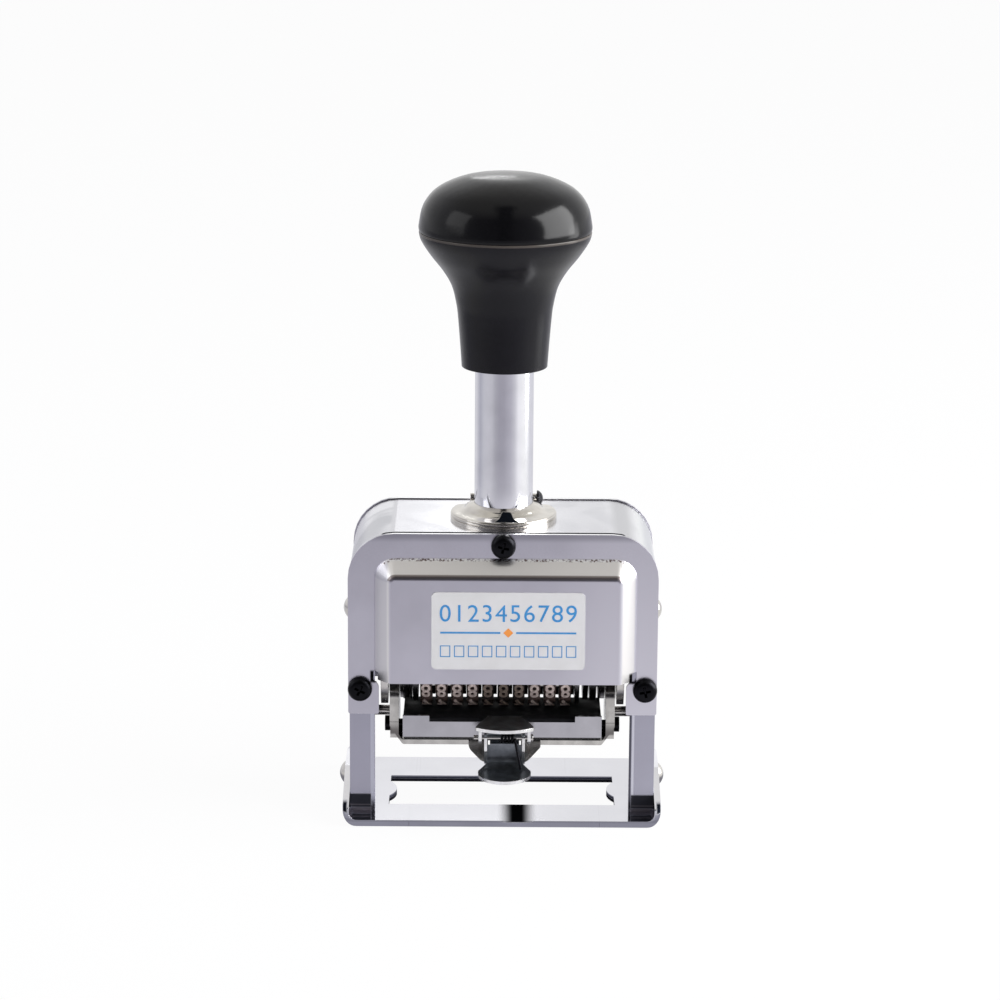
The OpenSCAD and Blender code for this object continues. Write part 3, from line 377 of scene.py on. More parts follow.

# ---- Arched frame ----
# One strip of steel sheet bent over into two legs and a top, with flanges at
# front and rear. Satin chrome on the legs; the flat top is painted brighter, a painted highlight.
# Domed rivets hold it to the ears, and domed screws hold the cam plates in it.

# Satin chrome: brushed lengthways, so its grain runs up and down the legs.
leg_sheet = metal("satin chrome sheet", "#acabb8", 0.22, 0.12, 0.004, (1, 1, 0.08), cloud=0.05, cloud_mm=14)
tree = leg_sheet.node_tree
x, y, z, place = where(leg_sheet)
# The top is painted brighter over the bend, a painted highlight, with cloudy patches of painted shade.
upper = add_node(tree, "MapRange", {"Value": z, "From Min": 58 * MM, "From Max": 71 * MM}, **SMOOTH)
shade_cloud_noise = add_node(tree, "TexNoise", {"Vector": place, "Scale": 1 / (20 * MM), "Detail": 2,
                                     "Distortion": 0.6})
remapped = add_node(tree, "MapRange", {"Value": shade_cloud_noise, "From Min": 0.46, "From Max": 0.66, "To Max": 0.85},
                 **SMOOTH)
upper_shade_clouds = add_node(tree, "Math", {0: upper, 1: remapped}, operation="MULTIPLY")
toward_left = add_node(tree, "MapRange", {"Value": x, "From Min": -12 * MM, "From Max": -26.6 * MM})
flat_top, inner_legs = (z, 72.3, 74, 0.05), (z, 2.5, 31, 0.5)
# Painted light: the top lighter over the bend with cloudy painted shade, painted shade on both sides of the
# flat top and on the right shoulder, a painted highlight high on the right leg, and painted shade and
# highlight lines down the legs' inner edges.
retone(leg_sheet, (upper, "#e3e3e7"), (upper_shade_clouds, "#adaeb4"),
       (zone(flat_top, share=toward_left), "#cacacf"),
       (zone(flat_top, (x, 11, 26.3, 3), strength=0.75), "#c9c9ce"),
       (zone((x, 27, 31.5, 1.5), share=upper), "#bfbfc3"),
       (zone((z, 60, 72, 3), (x, 33, 38, 1.2)), "#f4f6f6"),
       (zone(inner_legs, (x, 31.25, 31.85, 0.15), strength=0.85), "#3a3b45"),
       (zone(inner_legs, (x, 31.95, 32.5, 0.15), strength=0.85), "#d8d8e2"),
       (zone(inner_legs, (x, -32.4, -31.5, 0.15), strength=0.85), "#c3c4d0"))
# A painted reflection of the polished base shows in the feet as bands of near black
# and brown grey, and a line of painted shade lies in the crease along the top of the front cover.
outer = left_over(zone((x, -32.3, 31.9, 0.15)))
front_skin = (y, -20, -16.6, 0.15)
still(leg_sheet,
      (zone(front_skin, (z, 1.0, 2.4, 0.1), share=outer, strength=0.95), "#454147"),
      (zone(front_skin, (z, 2.4, 6.0, 0.25), share=outer, strength=0.97), "#15161c"),
      (zone(front_skin, (z, 3.0, 3.3, 0.12), share=outer, strength=0.7), "#504d52"),
      (zone((z, 71.9, 73, 0.1), (y, -17.3, -14.9, 0.1), strength=0.99), "#101014"))
eased("main_frame", "arched_frame", leg_sheet, "polished_chrome", "frame", 0.3)

# Nickel over turned steel, a little warmer and softer than the chrome.
nickel = metal("bright nickel plate", "#cfccc8", 0.2, 0.2, 0.004, cloud=0.08, cloud_mm=5)
for kind in ("ear_rivet", "side_screw"):
    eased(kind + "s", kind + "_heads", nickel, "polished_chrome", "frame", 0.15)

# ---- Cam plates ----
# Flat punched steel plates inside the legs. Their slanted slots swing the pad
# away as the plunger goes down. Nickel plated.

for side in ("left", "right"):
    eased(side + "_cam_plate", side + "_cam_plate_sheet", nickel, "nickel_steel", "frame", 0.12)

# ---- Collar and lock pin ----
# Turned and polished steel collar, held by a nut under the arched frame. A cross
# pin runs through its boss and locks the tube; its button is finely knurled.

# Turned and polished: rings of tool marks run round the axis.
turned = metal("turned bright steel", "#cfcbc4", 0.15, 0.16, 0.004, (0.15, 0.15, 1.6), cloud=0.12,
               cloud_mm=4)
# A painted reflection: the flare shows the dark room ahead in the form of a bell.
tree = turned.node_tree
x, y, z, place = where(turned)
half = add_node(tree, "MapRange", {"Value": y, "From Min": -8.4 * MM, "From Max": -12.2 * MM,
                                   "To Min": 1.2 * MM, "To Max": 3.3 * MM})
aside = add_node(tree, "Math", {0: x, 1: 0.75 * MM}, operation="SUBTRACT")
aside = add_node(tree, "Math", {0: aside}, operation="ABSOLUTE")
inside = add_node(tree, "Math", {0: half, 1: aside}, operation="SUBTRACT")
bell = add_node(tree, "MapRange", {"Value": inside, "From Max": 0.35 * MM})
still(turned, (zone((y, -12.25, -8.35, 0.2), share=bell), "#0c0f14"))
eased("collar", "turned_collar", turned, "polished_chrome", "frame", 0.12, angle=34, smooth=32)
eased("collar_nut", "collar_hex_nut", nickel, "nickel_steel", "frame", 0.2)
eased("lock_pin", "lock_cross_pin", nickel, "polished_chrome", "lock", 0.15)

# Blackened steel: a dull black skin that shines a little on worn edges.
black_steel = metal("blackened screw steel", "#1d1d20", 0.32, 0.15, 0.004, cloud=0.2)
button_knurl, tree, place = new_material("knurled black button")
# Crossed knurling cuts about 0.4 mm apart, as coarse as they need to show. A wave
# texture repeats every pi / 10 of its length.
cuts = []
for slant in (0.785, -0.785):
    turn = add_node(tree, "Mapping", {"Vector": place, "Rotation": (slant, 0, 0)})
    wave = add_node(tree, "TexWave", {"Vector": turn, "Scale": 0.314 / (0.4 * MM)}, bands_direction="Y")
    cuts.append(wave.outputs["Fac"])
diamonds = add_node(tree, "Math", {0: cuts[0], 1: cuts[1]}, operation="MULTIPLY")
relief = add_node(tree, "Bump", {"Height": diamonds, "Distance": 0.1 * MM})
tone = add_node(tree, "Mix", {0: diamonds, 1: "#161618", 2: "#4a4a4e"}, data_type="RGBA")
skin = add_node(tree, "BsdfPrincipled", {"Base Color": tone, "Metallic": 1.0, "Roughness": 0.34,
                                         "Normal": relief})
add_node(tree, "OutputMaterial", {0: skin})
eased("lock_button", "lock_knurled_button", button_knurl, "blackened_steel", "lock", 0.1)

# ---- Plunger ----
# Chromed steel tube pressed into the knob and screwed to a crosshead that
# carries two cheeks. The wheel shaft, its stepped bushes and nuts, the pawl rod
# and the guide shoes ride on the cheeks. All nickel plated, out of sight.

# Drawn tube, chromed: long soft streaks run up it.
tube_chrome = metal("chromed drawn tube", "#eeeef2", 0.1, 0.25, 0.003, (1, 1, 0.03), cloud=0.05, cloud_mm=6)
eased("handle_tube", "handle_chrome_tube", tube_chrome, "polished_chrome", "plunger", 0.2)
# Spacers dulled by ink, brushed round as they were turned.
spacer_steel = metal("inked spacer steel", "#8f8d8c", 0.25, 0.15, 0.004, (2, 0.3, 0.3), cloud=0.25,
                     cloud_mm=2)
for node, name, material, slot, edge_mm in (
        ("stop_ring", "plunger_stop_ring", nickel, "nickel_steel", 0.2),
        ("crosshead", "plunger_crosshead", nickel, "nickel_steel", 0.2),
        ("left_cheek", "left_cheek_plate", nickel, "nickel_steel", 0.15),
        ("right_cheek", "right_cheek_plate", nickel, "nickel_steel", 0.15),
        ("guide_shoes", "plunger_guide_shoes", nickel, "nickel_steel", 0.15),
        ("wheel_shaft", "wheel_pack_shaft", nickel, "nickel_steel", 0.15),
        ("shaft_bushes", "wheel_pack_bushes", spacer_steel, "nickel_steel", 0.12),
        ("pawl_rod", "drive_pawl_rod", nickel, "nickel_steel", 0.1),
        ("shaft_nuts", "wheel_shaft_nuts", black_steel, "blackened_steel", 0.15),
        ("cheek_screws", "cheek_screw_heads", black_steel, "blackened_steel", 0.1)):
    eased(node, name, material, slot, "plunger", edge_mm)


def two_tone(name, code, other_code, grain_mm, detail, roughness):
    """A plain surface that drifts between two tones over grains of a real size."""
    material, tree, place = new_material(name)
    grain = add_node(tree, "TexNoise", {"Vector": place, "Scale": 1 / (grain_mm * MM), "Detail": detail})
    tone = add_node(tree, "Mix", {0: grain, 1: code, 2: other_code}, data_type="RGBA")
    skin = add_node(tree, "BsdfPrincipled", {"Base Color": tone, "Roughness": roughness})
    add_node(tree, "OutputMaterial", {0: skin})
    return material


# Moulded rubber: matt black with a fine grit.
rubber = two_tone("moulded buffer rubber", "#141415", "#242425", 0.4, 3, 0.8)
eased("buffer_washer", "plunger_rubber_buffer", rubber, "buffer_rubber", "plunger", 0.2)

# Turned brass: warm yellow with faint rings.
brass = metal("turned brass", "#b9924f", 0.3, 0.2, 0.004, (0.2, 0.2, 1.5))
eased("handle_stud", "handle_brass_stud", brass, "brass", "plunger", 0.2)

# ---- Knob ----
# A flared grip and a domed cap of hard black plastic, moulded apart, pressed
# together at the widest point and polished. The grip is scratched by use.


def black_plastic(name, code, sheen_code, roughness, scratches, gloss):
    """Polished black phenolic: deep black with a clear gloss, fine wipes and hair scratches."""
    material, tree, place = new_material(name)
    clouds = add_node(tree, "TexNoise", {"Vector": place, "Scale": 1 / (14 * MM), "Detail": 4,
                                         "Roughness": 0.6})
    tone = add_node(tree, "Mix", {0: clouds, 1: code, 2: sheen_code}, data_type="RGBA")
    remapped = add_node(tree, "Mapping", {"Vector": place, "Rotation": (0.3, 0.5, 0.7), "Scale": (1, 1, 0.12)})
    hairs = add_node(tree, "TexNoise", {"Vector": remapped, "Scale": 1 / (0.5 * MM), "Detail": 5,
                                        "Roughness": 0.7})
    rough = add_node(tree, "MapRange", {"Value": hairs, "From Min": 0.35, "From Max": 0.75,
                                        "To Min": roughness, "To Max": roughness + scratches})
    relief = add_node(tree, "Bump", {"Height": clouds, "Strength": 0.4, "Distance": 0.25 * MM})
    skin = add_node(tree, "BsdfPrincipled", {"Base Color": tone, "Roughness": rough, "IOR": 1.5,
                                             "Specular IOR Level": gloss, "Normal": relief})
    add_node(tree, "OutputMaterial", {0: skin})
    return material


grip_plastic = black_plastic("handled black phenolic", "#050509", "#0e0d14", 0.2, 0.06, 0.26)
# The flash line at the joint is rubbed pale.
retone(grip_plastic, (zone((where(grip_plastic)[2], 143.4, 144.25, 0.15)), "#48433f"))
cap_plastic = black_plastic("polished black phenolic", "#08080a", "#0e0e10", 0.155, 0.03, 0.21)
for node, name, material, slot, edge_mm in (
        ("knob_grip", "knob_flared_grip", grip_plastic, "black_grip", 0.15),
        ("knob_cap", "knob_domed_cap", cap_plastic, "black_cap", 0.1)):
    eased(node, name, material, slot, "plunger", edge_mm, angle=40, smooth=32)

# ---- Return springs ----
# Two wound steel springs between the crosshead and pins under the arch. They
# push the plunger up; here each is one fixed shape at rest.


def new_geometry_tree(name, inputs):
    """A geometry tree, the keys of its inputs by name, and what they give inside it."""
    tree = bpy.data.node_groups.new(name, "GeometryNodeTree")
    tree.interface.new_socket("Geometry", in_out="OUTPUT", socket_type="NodeSocketGeometry")
    keys = {}
    for label, kind in inputs.items():
        socket = tree.interface.new_socket(label, in_out="INPUT", socket_type="NodeSocket" + kind)
        keys[label] = socket.identifier
    return tree, keys, add_node(tree, "NodeGroupInput").outputs


def made_real(tree, geometry, material):
    """Turns instances into real geometry of one material."""
    solid = add_node(tree, "GeometryNodeRealizeInstances", {0: geometry})
    return add_node(tree, "GeometryNodeSetMaterial", {"Geometry": solid, "Material": material})


def grow(piece, tree, keys, values):
    """Runs a geometry tree on a piece and bakes it to a plain mesh."""
    grower = piece.modifiers.new("grown", "NODES")
    grower.node_group = tree
    for name, value in values.items():
        grower[keys[name]] = value
    return bake(piece)


spring_tree, spring_keys, given = new_geometry_tree("wound spring", {
    "Coil radius": "Float", "Wire radius": "Float", "Turns": "Float", "Length": "Float",
    "Wire finish": "Material", "Place": "Vector", "Axis turn": "Vector"})
tree = spring_tree
helix = add_node(tree, "GeometryNodeCurveSpiral", {
    "Resolution": 28, "Rotations": given["Turns"], "Start Radius": given["Coil radius"],
    "End Radius": given["Coil radius"], "Height": given["Length"]})
section = add_node(tree, "GeometryNodeCurvePrimitiveCircle", {
    "Resolution": 12, "Radius": given["Wire radius"]})
wound = add_node(tree, "GeometryNodeCurveToMesh", {
    "Curve": helix, "Profile Curve": section, "Fill Caps": True})
laid = add_node(tree, "GeometryNodeTransform", {
    "Geometry": wound, "Translation": given["Place"], "Rotation": given["Axis turn"]})
add_node(tree, "NodeGroupOutput", {0: made_real(tree, laid, given["Wire finish"])})


def wound_spring(name, material, values):
    spring = mesh_object(name, bpy.data.meshes.new(name), material)
    grow(spring, spring_tree, spring_keys, {"Wire finish": material, **values})
    with reshaped(spring.data) as shape:
        bmesh.ops.remove_doubles(shape, verts=shape.verts, dist=0.000001)
        bmesh.ops.recalc_face_normals(shape, faces=shape.faces)
    finish_edges(spring, 50)
    return spring


# Drawn spring wire, oil-blued: dark grey with a soft line of light along it.
spring_wire = metal("oil-blued spring wire", "#3a3a3e", 0.3, 0.1, 0.003, cloud=0.15, cloud_mm=2)
for side, spring_x in (("left", -20.0 * MM), ("right", 20.0 * MM)):
    spring = wound_spring("return_spring_" + side, spring_wire, {
        "Coil radius": 3 * MM, "Wire radius": 0.4 * MM, "Turns": 8.0, "Length": 15.2 * MM,
        "Place": (spring_x, 0, 54.4 * MM), "Axis turn": (0, 0, 0)})
    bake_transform(spring)
    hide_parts("return_springs")
eased("spring_pins", "spring_top_pins", nickel, "nickel_steel", "frame", 0.1)

# ---- Number wheels ----
# Ten cast and machined bronze wheels, each with twelve lands that carry raised
# figures 0 to 9, a dash and a blank, with a thin steel disc on its left and a
# ratchet on its right. They turn freely on the shaft.

axle_z, first_wheel, wheel_pitch = 36.95, -18.9, 3.83
# The figures' faces stand over lands that are turned down to carry them.
figure_face, figure_root, land_radius = 12.7, 11.95, 11.95
figure_width, figure_height, figure_slices = 5.0, 6.6, 6


def sign_mesh(sign, size, depth, curve_steps, swell=0.0):
    """A sign as a flat solid round its own middle."""
    letter = bpy.data.curves.new(sign, "FONT")
    letter.body, letter.size, letter.extrude, letter.offset = sign, size, depth, swell
    letter.align_x, letter.align_y, letter.resolution_u = "CENTER", "CENTER", curve_steps
    holder = bpy.data.objects.new(sign, letter)
    scene.collection.objects.link(holder)
    mesh = bpy.data.meshes.new_from_object(holder.evaluated_get(bpy.context.evaluated_depsgraph_get()))
    bpy.data.objects.remove(holder)
    return mesh


def slice_up(shape, cuts, way):
    """Cuts a shape square to an axis at these places along it."""
    for cut in cuts:
        bmesh.ops.bisect_plane(shape, geom=shape.verts[:] + shape.edges[:] + shape.faces[:],
                               plane_co=cut * way, plane_no=way)


# Each figure is cut across its height and bent round the wheel, its origin on the axle.
figures = bpy.data.collections.new("type figures")
for order, sign in enumerate("0123456789-"):
    mesh = sign_mesh(sign, 1.0, 0.1, 4, swell=0.012)
    with reshaped(mesh) as shape:
        bmesh.ops.remove_doubles(shape, verts=shape.verts, dist=0.0001)
        low, high = (pick(v.co.y for v in shape.verts) for pick in (min, max))
        slice_up(shape, [low + (high - low) * cut / figure_slices for cut in range(1, figure_slices)],
                 Vector((0, 1, 0)))
        for v in shape.verts:
            radius = figure_root if v.co.z < 0 else figure_face
            angle = (v.co.y - (low + high) / 2) * figure_height / figure_face
            v.co = Vector((v.co.x * figure_width, radius * math.sin(angle), -radius * math.cos(angle))) * MM
        bmesh.ops.recalc_face_normals(shape, faces=shape.faces)
    figures.objects.link(bpy.data.objects.new("figure_%02d" % order, mesh))


def type_metal(name, face_code, ground_code):
    """Worn bronze: the figures' tops stand clean and bright, the ground between them holds old ink."""
    material, tree, place = new_material(name)
    centred = add_node(tree, "Mapping", {"Vector": place, "Location": (0, 0, -axle_z * MM),
                                         "Scale": (0, 1, 1)})
    out = add_node(tree, "VectorMath", {0: centred}, operation="LENGTH")
    raised = add_node(tree, "MapRange", {"Value": out, "From Min": 12.1 * MM, "From Max": 12.62 * MM},
                      **SMOOTH)
    wear = add_node(tree, "TexNoise", {"Vector": place, "Scale": 1 / (0.7 * MM), "Detail": 4,
                                       "Roughness": 0.65})
    worn = add_node(tree, "MapRange", {"Value": wear, "From Min": 0.3, "From Max": 0.62,
                                       "To Min": 0.45})
    share = add_node(tree, "Math", {0: raised, 1: worn}, operation="MULTIPLY")
    tone = add_node(tree, "Mix", {0: share, 1: ground_code, 2: face_code}, data_type="RGBA")
    rough = add_node(tree, "MapRange", {"Value": share, "To Min": 0.6, "To Max": 0.33})
    relief = add_node(tree, "Bump", {"Height": wear, "Strength": 0.7, "Distance": 0.06 * MM})
    skin = add_node(tree, "BsdfPrincipled", {"Base Color": tone, "Metallic": 0.45, "Roughness": rough,
                                             "Normal": relief})
    add_node(tree, "OutputMaterial", {0: skin})
    return material


clean_type = type_metal("worn type bronze", "#f2e0d8", "#55453f")
inked_type = type_metal("ink-darkened type bronze", "#a8968a", "#352c28")

wheel_tree, wheel_keys, given = new_geometry_tree("figures round a wheel", {
    "Wheel": "Geometry", "Figures": "Collection", "Wheel middle": "Float", "Axle height": "Float",
    "Places": "Int", "Land for figure 0": "Int", "Metal": "Material"})
tree = wheel_tree
count = add_node(tree, "GeometryNodeInputIndex")
land = add_node(tree, "Math", {0: given["Land for figure 0"], 1: count}, operation="SUBTRACT")
step = add_node(tree, "Math", {0: 2 * math.pi, 1: given["Places"]}, operation="DIVIDE")
turn = add_node(tree, "Math", {0: land, 1: step}, operation="MULTIPLY")
facing = add_node(tree, "FunctionNodeEulerToRotation", {
    0: add_node(tree, "CombineXYZ", {"X": turn})})
centre = add_node(tree, "CombineXYZ", {"X": given["Wheel middle"], "Z": given["Axle height"]})
seats = add_node(tree, "GeometryNodePoints", {"Count": len(figures.objects), "Position": centre})
shelf = add_node(tree, "GeometryNodeCollectionInfo", {
    "Collection": given["Figures"], "Separate Children": True, "Reset Children": True})
placed = add_node(tree, "GeometryNodeInstanceOnPoints", {
    "Points": seats, "Instance": shelf, "Pick Instance": True, "Instance Index": count,
    "Rotation": facing})
joined = add_node(tree, "GeometryNodeJoinGeometry", {0: made_real(tree, placed, given["Metal"])})
tree.links.new(given["Wheel"], joined.inputs[0])
add_node(tree, "NodeGroupOutput", {0: joined})

# The thin discs and ratchets are bare steel, brighter than the bronze.
disc_steel = metal("bright disc steel", "#c9c6c2", 0.22, 0.2, 0.004, cloud=0.12, cloud_mm=3)
cad_land, land_rim = 12.2, 11.97
ratchet_side, disc_side, disc_thickness = 1.46, -1.45, 0.36


def from_axle(point):
    return math.hypot(point.y, point.z - axle_z * MM)


for number in range(10):
    middle = first_wheel + wheel_pitch * number
    material = inked_type if 4 <= number <= 6 else clean_type
    wheel = merged_copy("number_wheel_%d" % (number + 1), "type_wheel_%d" % (number + 1), material)
    wheel.data.materials.append(disc_steel)
    for v in wheel.data.vertices:
        out = from_axle(v.co) / MM
        if out > cad_land:
            v.co.y *= land_radius / out
            v.co.z = (axle_z + (v.co.z / MM - axle_z) * land_radius / out) * MM
    for face in wheel.data.polygons:
        across = face.center.x / MM - middle
        on_disc = across < disc_side + disc_thickness and from_axle(face.center) > land_rim * MM
        face.material_index = int(across > ratchet_side or on_disc)
    finish_edges(wheel)
    grow(wheel, wheel_tree, wheel_keys, {
        "Figures": figures, "Wheel middle": middle * MM, "Axle height": axle_z * MM, "Places": 12,
        "Land for figure 0": 18, "Metal": material})
    part_of(wheel, "wheel_%d" % (number + 1), "type_bronze", "number_wheel_%d" % (number + 1))
for figure in list(figures.objects):
    bpy.data.objects.remove(figure)
bpy.data.collections.remove(figures)

# ---- Detent comb, drive pawls and repeat selector ----
# Punched spring steel behind the covers: the comb holds the ratchets, the pawls
# turn them, and the selector sets how often a number repeats.

eased("detent_comb", "ratchet_detent_comb", disc_steel, "nickel_steel", "plunger", 0.05)
eased("drive_pawls", "ratchet_drive_pawls", disc_steel, "nickel_steel", "pawl_frame", 0.05)
# Punched steel, blackened by ink and handling.
selector_steel = metal("ink-black selector steel", "#232326", 0.25, 0.15, 0.004, cloud=0.3, cloud_mm=3)
eased("repeat_selector", "repeat_selector_plate", selector_steel, "nickel_steel", "selector", 0.1)

# ---- Pad carrier ----
# A bail of folded steel hangs on the wheel shaft and carries the tray. Studs on
# its arms run in the cam plates; stepped pins hold the tray between them.

# Folded bail: nickel, toned darker grey toward its lower half.
bail_steel = metal("nickel bail, darker below", "#c2c0bb", 0.2, 0.25, 0.008, cloud=0.2, cloud_mm=3)
height = where(bail_steel)[2]
darker_below = add_node(bail_steel.node_tree, "MapRange", {
    "Value": height, "From Min": 24.5 * MM, "From Max": 20.5 * MM, "To Max": 0.85}, **SMOOTH)
retone(bail_steel, (zone((height, 18.9, 30, 0.3), share=darker_below), "#5c5857"))
# Folded tray, satin nickel: pale walls, bright where their inside catches the light.
tray_steel = metal("satin nickel tray", "#b9b8bd", 0.24, 0.2, 0.006, cloud=0.07, cloud_mm=6)
for node, name, material, edge_mm in (
        ("pad_bail", "pad_bail_folding", bail_steel, 0.15),
        ("cam_studs", "pad_cam_studs", nickel, 0.1),
        ("pad_tray", "pad_tray_folding", tray_steel, 0.12),
        ("tray_pins", "pad_tray_pins", black_steel, 0.12)):
    eased(node, name, material, "nickel_steel", "pad_carrier", edge_mm)

# ---- Ink pad ----
# Wool felt pressed into the tray, black with oil ink. It stands a little above
# the tray's cut walls, with a fibrous skin and the dents of old impressions.

# Inked wool felt: nearly black, fuzzy, with a faint oily shine in places. Fibres
# are drawn about 0.25 mm thick, as coarse as they need to show.
felt, tree, place = new_material("ink-soaked wool felt")
fibres = add_node(tree, "TexNoise", {"Vector": place, "Scale": 1 / (0.5 * MM), "Detail": 6,
                                     "Roughness": 0.75, "Distortion": 0.8})
oily = add_node(tree, "TexNoise", {"Vector": place, "Scale": 1 / (5 * MM)})
tone = add_node(tree, "Mix", {0: fibres, 1: "#060608", 2: "#242428"}, data_type="RGBA")
rough = add_node(tree, "MapRange", {"Value": oily, "From Min": 0.35, "From Max": 0.65,
                                    "To Min": 0.95, "To Max": 0.6})
relief = add_node(tree, "Bump", {"Height": fibres, "Strength": 0.8, "Distance": 0.2 * MM})
skin = add_node(tree, "BsdfPrincipled", {"Base Color": tone, "Roughness": rough,
                                         "Specular IOR Level": 0.2, "Normal": relief})
add_node(tree, "OutputMaterial", {0: skin})

pad = merged_copy("ink_pad", "ink_pad_felt", felt)
pad_top = max(v.co.z for v in pad.data.vertices)
pad_side, pad_front, pad_rear = 24.5, -12.15, 4.15
# Its rim sags, the types have dented it, and it swells a little toward the rear wheels.
rim_width, rim_sag, dent_depth, swell_share = 1.2, 0.22, 0.035, 0.8
with reshaped(pad.data) as shape:
    slice_up(shape, [step * MM for step in range(-24, 25)], Vector((1, 0, 0)))
    slice_up(shape, [step * MM for step in range(-12, 5)], Vector((0, 1, 0)))
    bmesh.ops.triangulate(shape, faces=shape.faces)
    for v in shape.verts:
        if v.co.z > pad_top - 0.01 * MM:
            x, y = v.co.x / MM, v.co.y / MM
            rim = min(pad_side - abs(x), y - pad_front, pad_rear - y)
            sag = rim_sag * max(0.0, 1 - rim / rim_width) ** 2
            dent = dent_depth * (1 + math.sin(x * 3.1) * math.cos(y * 2.3))
            beside = max(0.0, y) / figure_face
            swell = swell_share * figure_face * (1 - math.sqrt(1 - beside * beside))
            v.co.z += (swell - sag - dent) * MM
finish_edges(pad, 50)
part_of(pad, "pad_carrier", "pad_felt", "ink_pad")

# ---- Pad clip ----
# A bracket riveted to the tray and a pressed lever pivot on one pin, and a wound
# spring with a straight tail closes them over the bail. Zinc plated, dull dark.

# Dark zinc: mottled grey, brighter at the edges.
zinc = metal("mottled dark zinc", "#878c92", 0.32, 0.6, 0.02, cloud=0.3, cloud_mm=2.2)
bright_edge_zinc = metal("bright edge zinc", "#f0f0ee", 0.24, 0.3, 0.01, cloud=0.2, cloud_mm=2)
# The sheet's cut edges, its short narrow faces, and its broken edges take the brighter zinc.
cut_width, cut_length = 0.8 * MM, 6 * MM
for node, name, body in (("clip_bracket", "clip_bracket_pressing", "pad_carrier"),
                         ("clip_lever", "clip_lever_pressing", "clip")):
    piece = merged_copy(node, name, zinc)
    piece.data.materials.append(bright_edge_zinc)
    for face in piece.data.polygons:
        corners = [piece.data.vertices[i].co for i in face.vertices]
        around = sum((a - b).length for a, b in zip(corners, corners[1:] + corners[:1]))
        wide = max(c.x for c in corners) - min(c.x for c in corners)
        face.material_index = int(2 * face.area / around < cut_width and wide < cut_length)
    finish_edges(piece)
    part_of(break_edges(piece, 0.24, 30, edge_material=1), body, "dark_zinc", node)
eased("clip_pin", "clip_pivot_pin", nickel, "nickel_steel", "pad_carrier", 0.08)

wire_radius, coil_length = 0.35, 3.4
coil_end = Vector((-0.25, -19.0, 21.3))
coil = wound_spring("clip_torsion_spring", black_steel, {
    "Coil radius": 1.1 * MM, "Wire radius": wire_radius * MM, "Turns": 4.0, "Length": coil_length * MM,
    "Place": tuple(coil_end * MM), "Axis turn": (0, math.pi / 2, 0)})
tail_start = coil_end + Vector((coil_length, -1.1, -0.3))
tail_end = coil_end + Vector((4.8, -2.4, -7.1))
tail_way = tail_end - tail_start
with reshaped(coil.data) as shape:
    bmesh.ops.create_cone(shape, cap_ends=True, segments=12, radius1=wire_radius * MM,
                          radius2=wire_radius * MM, depth=tail_way.length * MM,
                          matrix=standing((tail_start + tail_end) / 2 * MM, tail_way, "X"))
    for end in (tail_start, tail_end):
        bmesh.ops.create_uvsphere(shape, u_segments=12, v_segments=8, radius=wire_radius * MM,
                                  matrix=Matrix.Translation(end * MM))
coil.data.materials.append(bright_edge_zinc)
finish_edges(coil, 50)
part_of(coil, "clip", "spring_wire", "clip_spring")

# ---- Front and rear covers ----
# Pressed steel sheet with a raised panel, satin nickel plated and held by three
# screws each. The panel's slopes are painted brighter than its face, a painted
# highlight, and grime sits in the fold round it.

# Satin nickel plate: even fine grain with faint cloudy wiping marks.
cover_steel = metal("satin plated cover", "#c9c7d1", 0.3, 0.12, 0.005, cloud=0.05, cloud_mm=12)
tree = cover_steel.node_tree
x, y, z, place = where(cover_steel)
depth = add_node(tree, "Math", {0: y}, operation="ABSOLUTE").outputs[0]
slope = (depth, 18.7, 22.3, 0.3)
# Painted light: the right of the face lighter, the slopes a painted highlight, and the left slope in
# painted shade.
retone(cover_steel, (zone((x, 18, 60, 9)), "#d6d4dd"), (zone(slope), "#f1efee"),
       (zone(slope, (x, -34, -28, 0.5), strength=0.8), "#c6c5cd"))
# The fold over the top slope is crazed by the press: white and brown specks.
fold = (depth, 18.3, 18.9, 0.12), (z, 65.2, 70, 0.3)
specks = add_node(tree, "TexNoise", {"Vector": place, "Scale": 1 / (0.55 * MM)})
for low, high, code in ((0.52, 0.58, "#ffffff"), (0.46, 0.40, "#5d463e")):
    flecks = add_node(tree, "MapRange", {"Value": specks, "From Min": low, "From Max": high})
    retone(cover_steel, (zone(*fold, share=flecks, strength=0.9), code))
# Grime under the top slope, painted shade on the top rim with a painted highlight on
# its edge, and painted shade in the slots that the lower corners leave beside the legs.
slots = (z, 35, 38.1, 0.35)
retone(cover_steel,
       (zone((depth, 21.9, 22.6, 0.15), (z, 62, 70, 0.2), strength=0.75), "#54423d"),
       (zone((depth, 17, 18.4, 0.1), (z, 71.3, 74, 0.9), strength=0.5), "#73727c"),
       (zone((depth, 17, 18.05, 0.1), (z, 72.5, 74, 0.1)), "#f6f6f8"),
       (zone(slots, (x, -32.4, -31.1, 0.2)), "#0d0d10"), (zone(slots, (x, 30.9, 32.1, 0.2)), "#0d0d10"))
for side in ("front", "rear"):
    eased(side + "_cover", side + "_cover_pressing", cover_steel, "satin_steel", "frame", 0.4)

# ---- Cover screws ----
# Pan-head screws with a cross recess, blackened. Each is driven home by hand, so
# the recesses stand at different angles.

screw_profile = ((0.0, 0.0), (3.0, 0.0), (3.0, 0.75), (2.93, 1.15), (2.7, 1.55), (2.3, 1.88), (1.75, 2.05),
                 (0.0, 2.1))
around_screw = 40
recess_size, recess_middle, recess_waist, recess_taper = (3.3, 0.75, 1.5), 1.75, 1.5, 0.45
cover_plane, screw_places = 18.2, ((-34.9, 33.5), (34.9, 33.5), (0.0, 69.8))

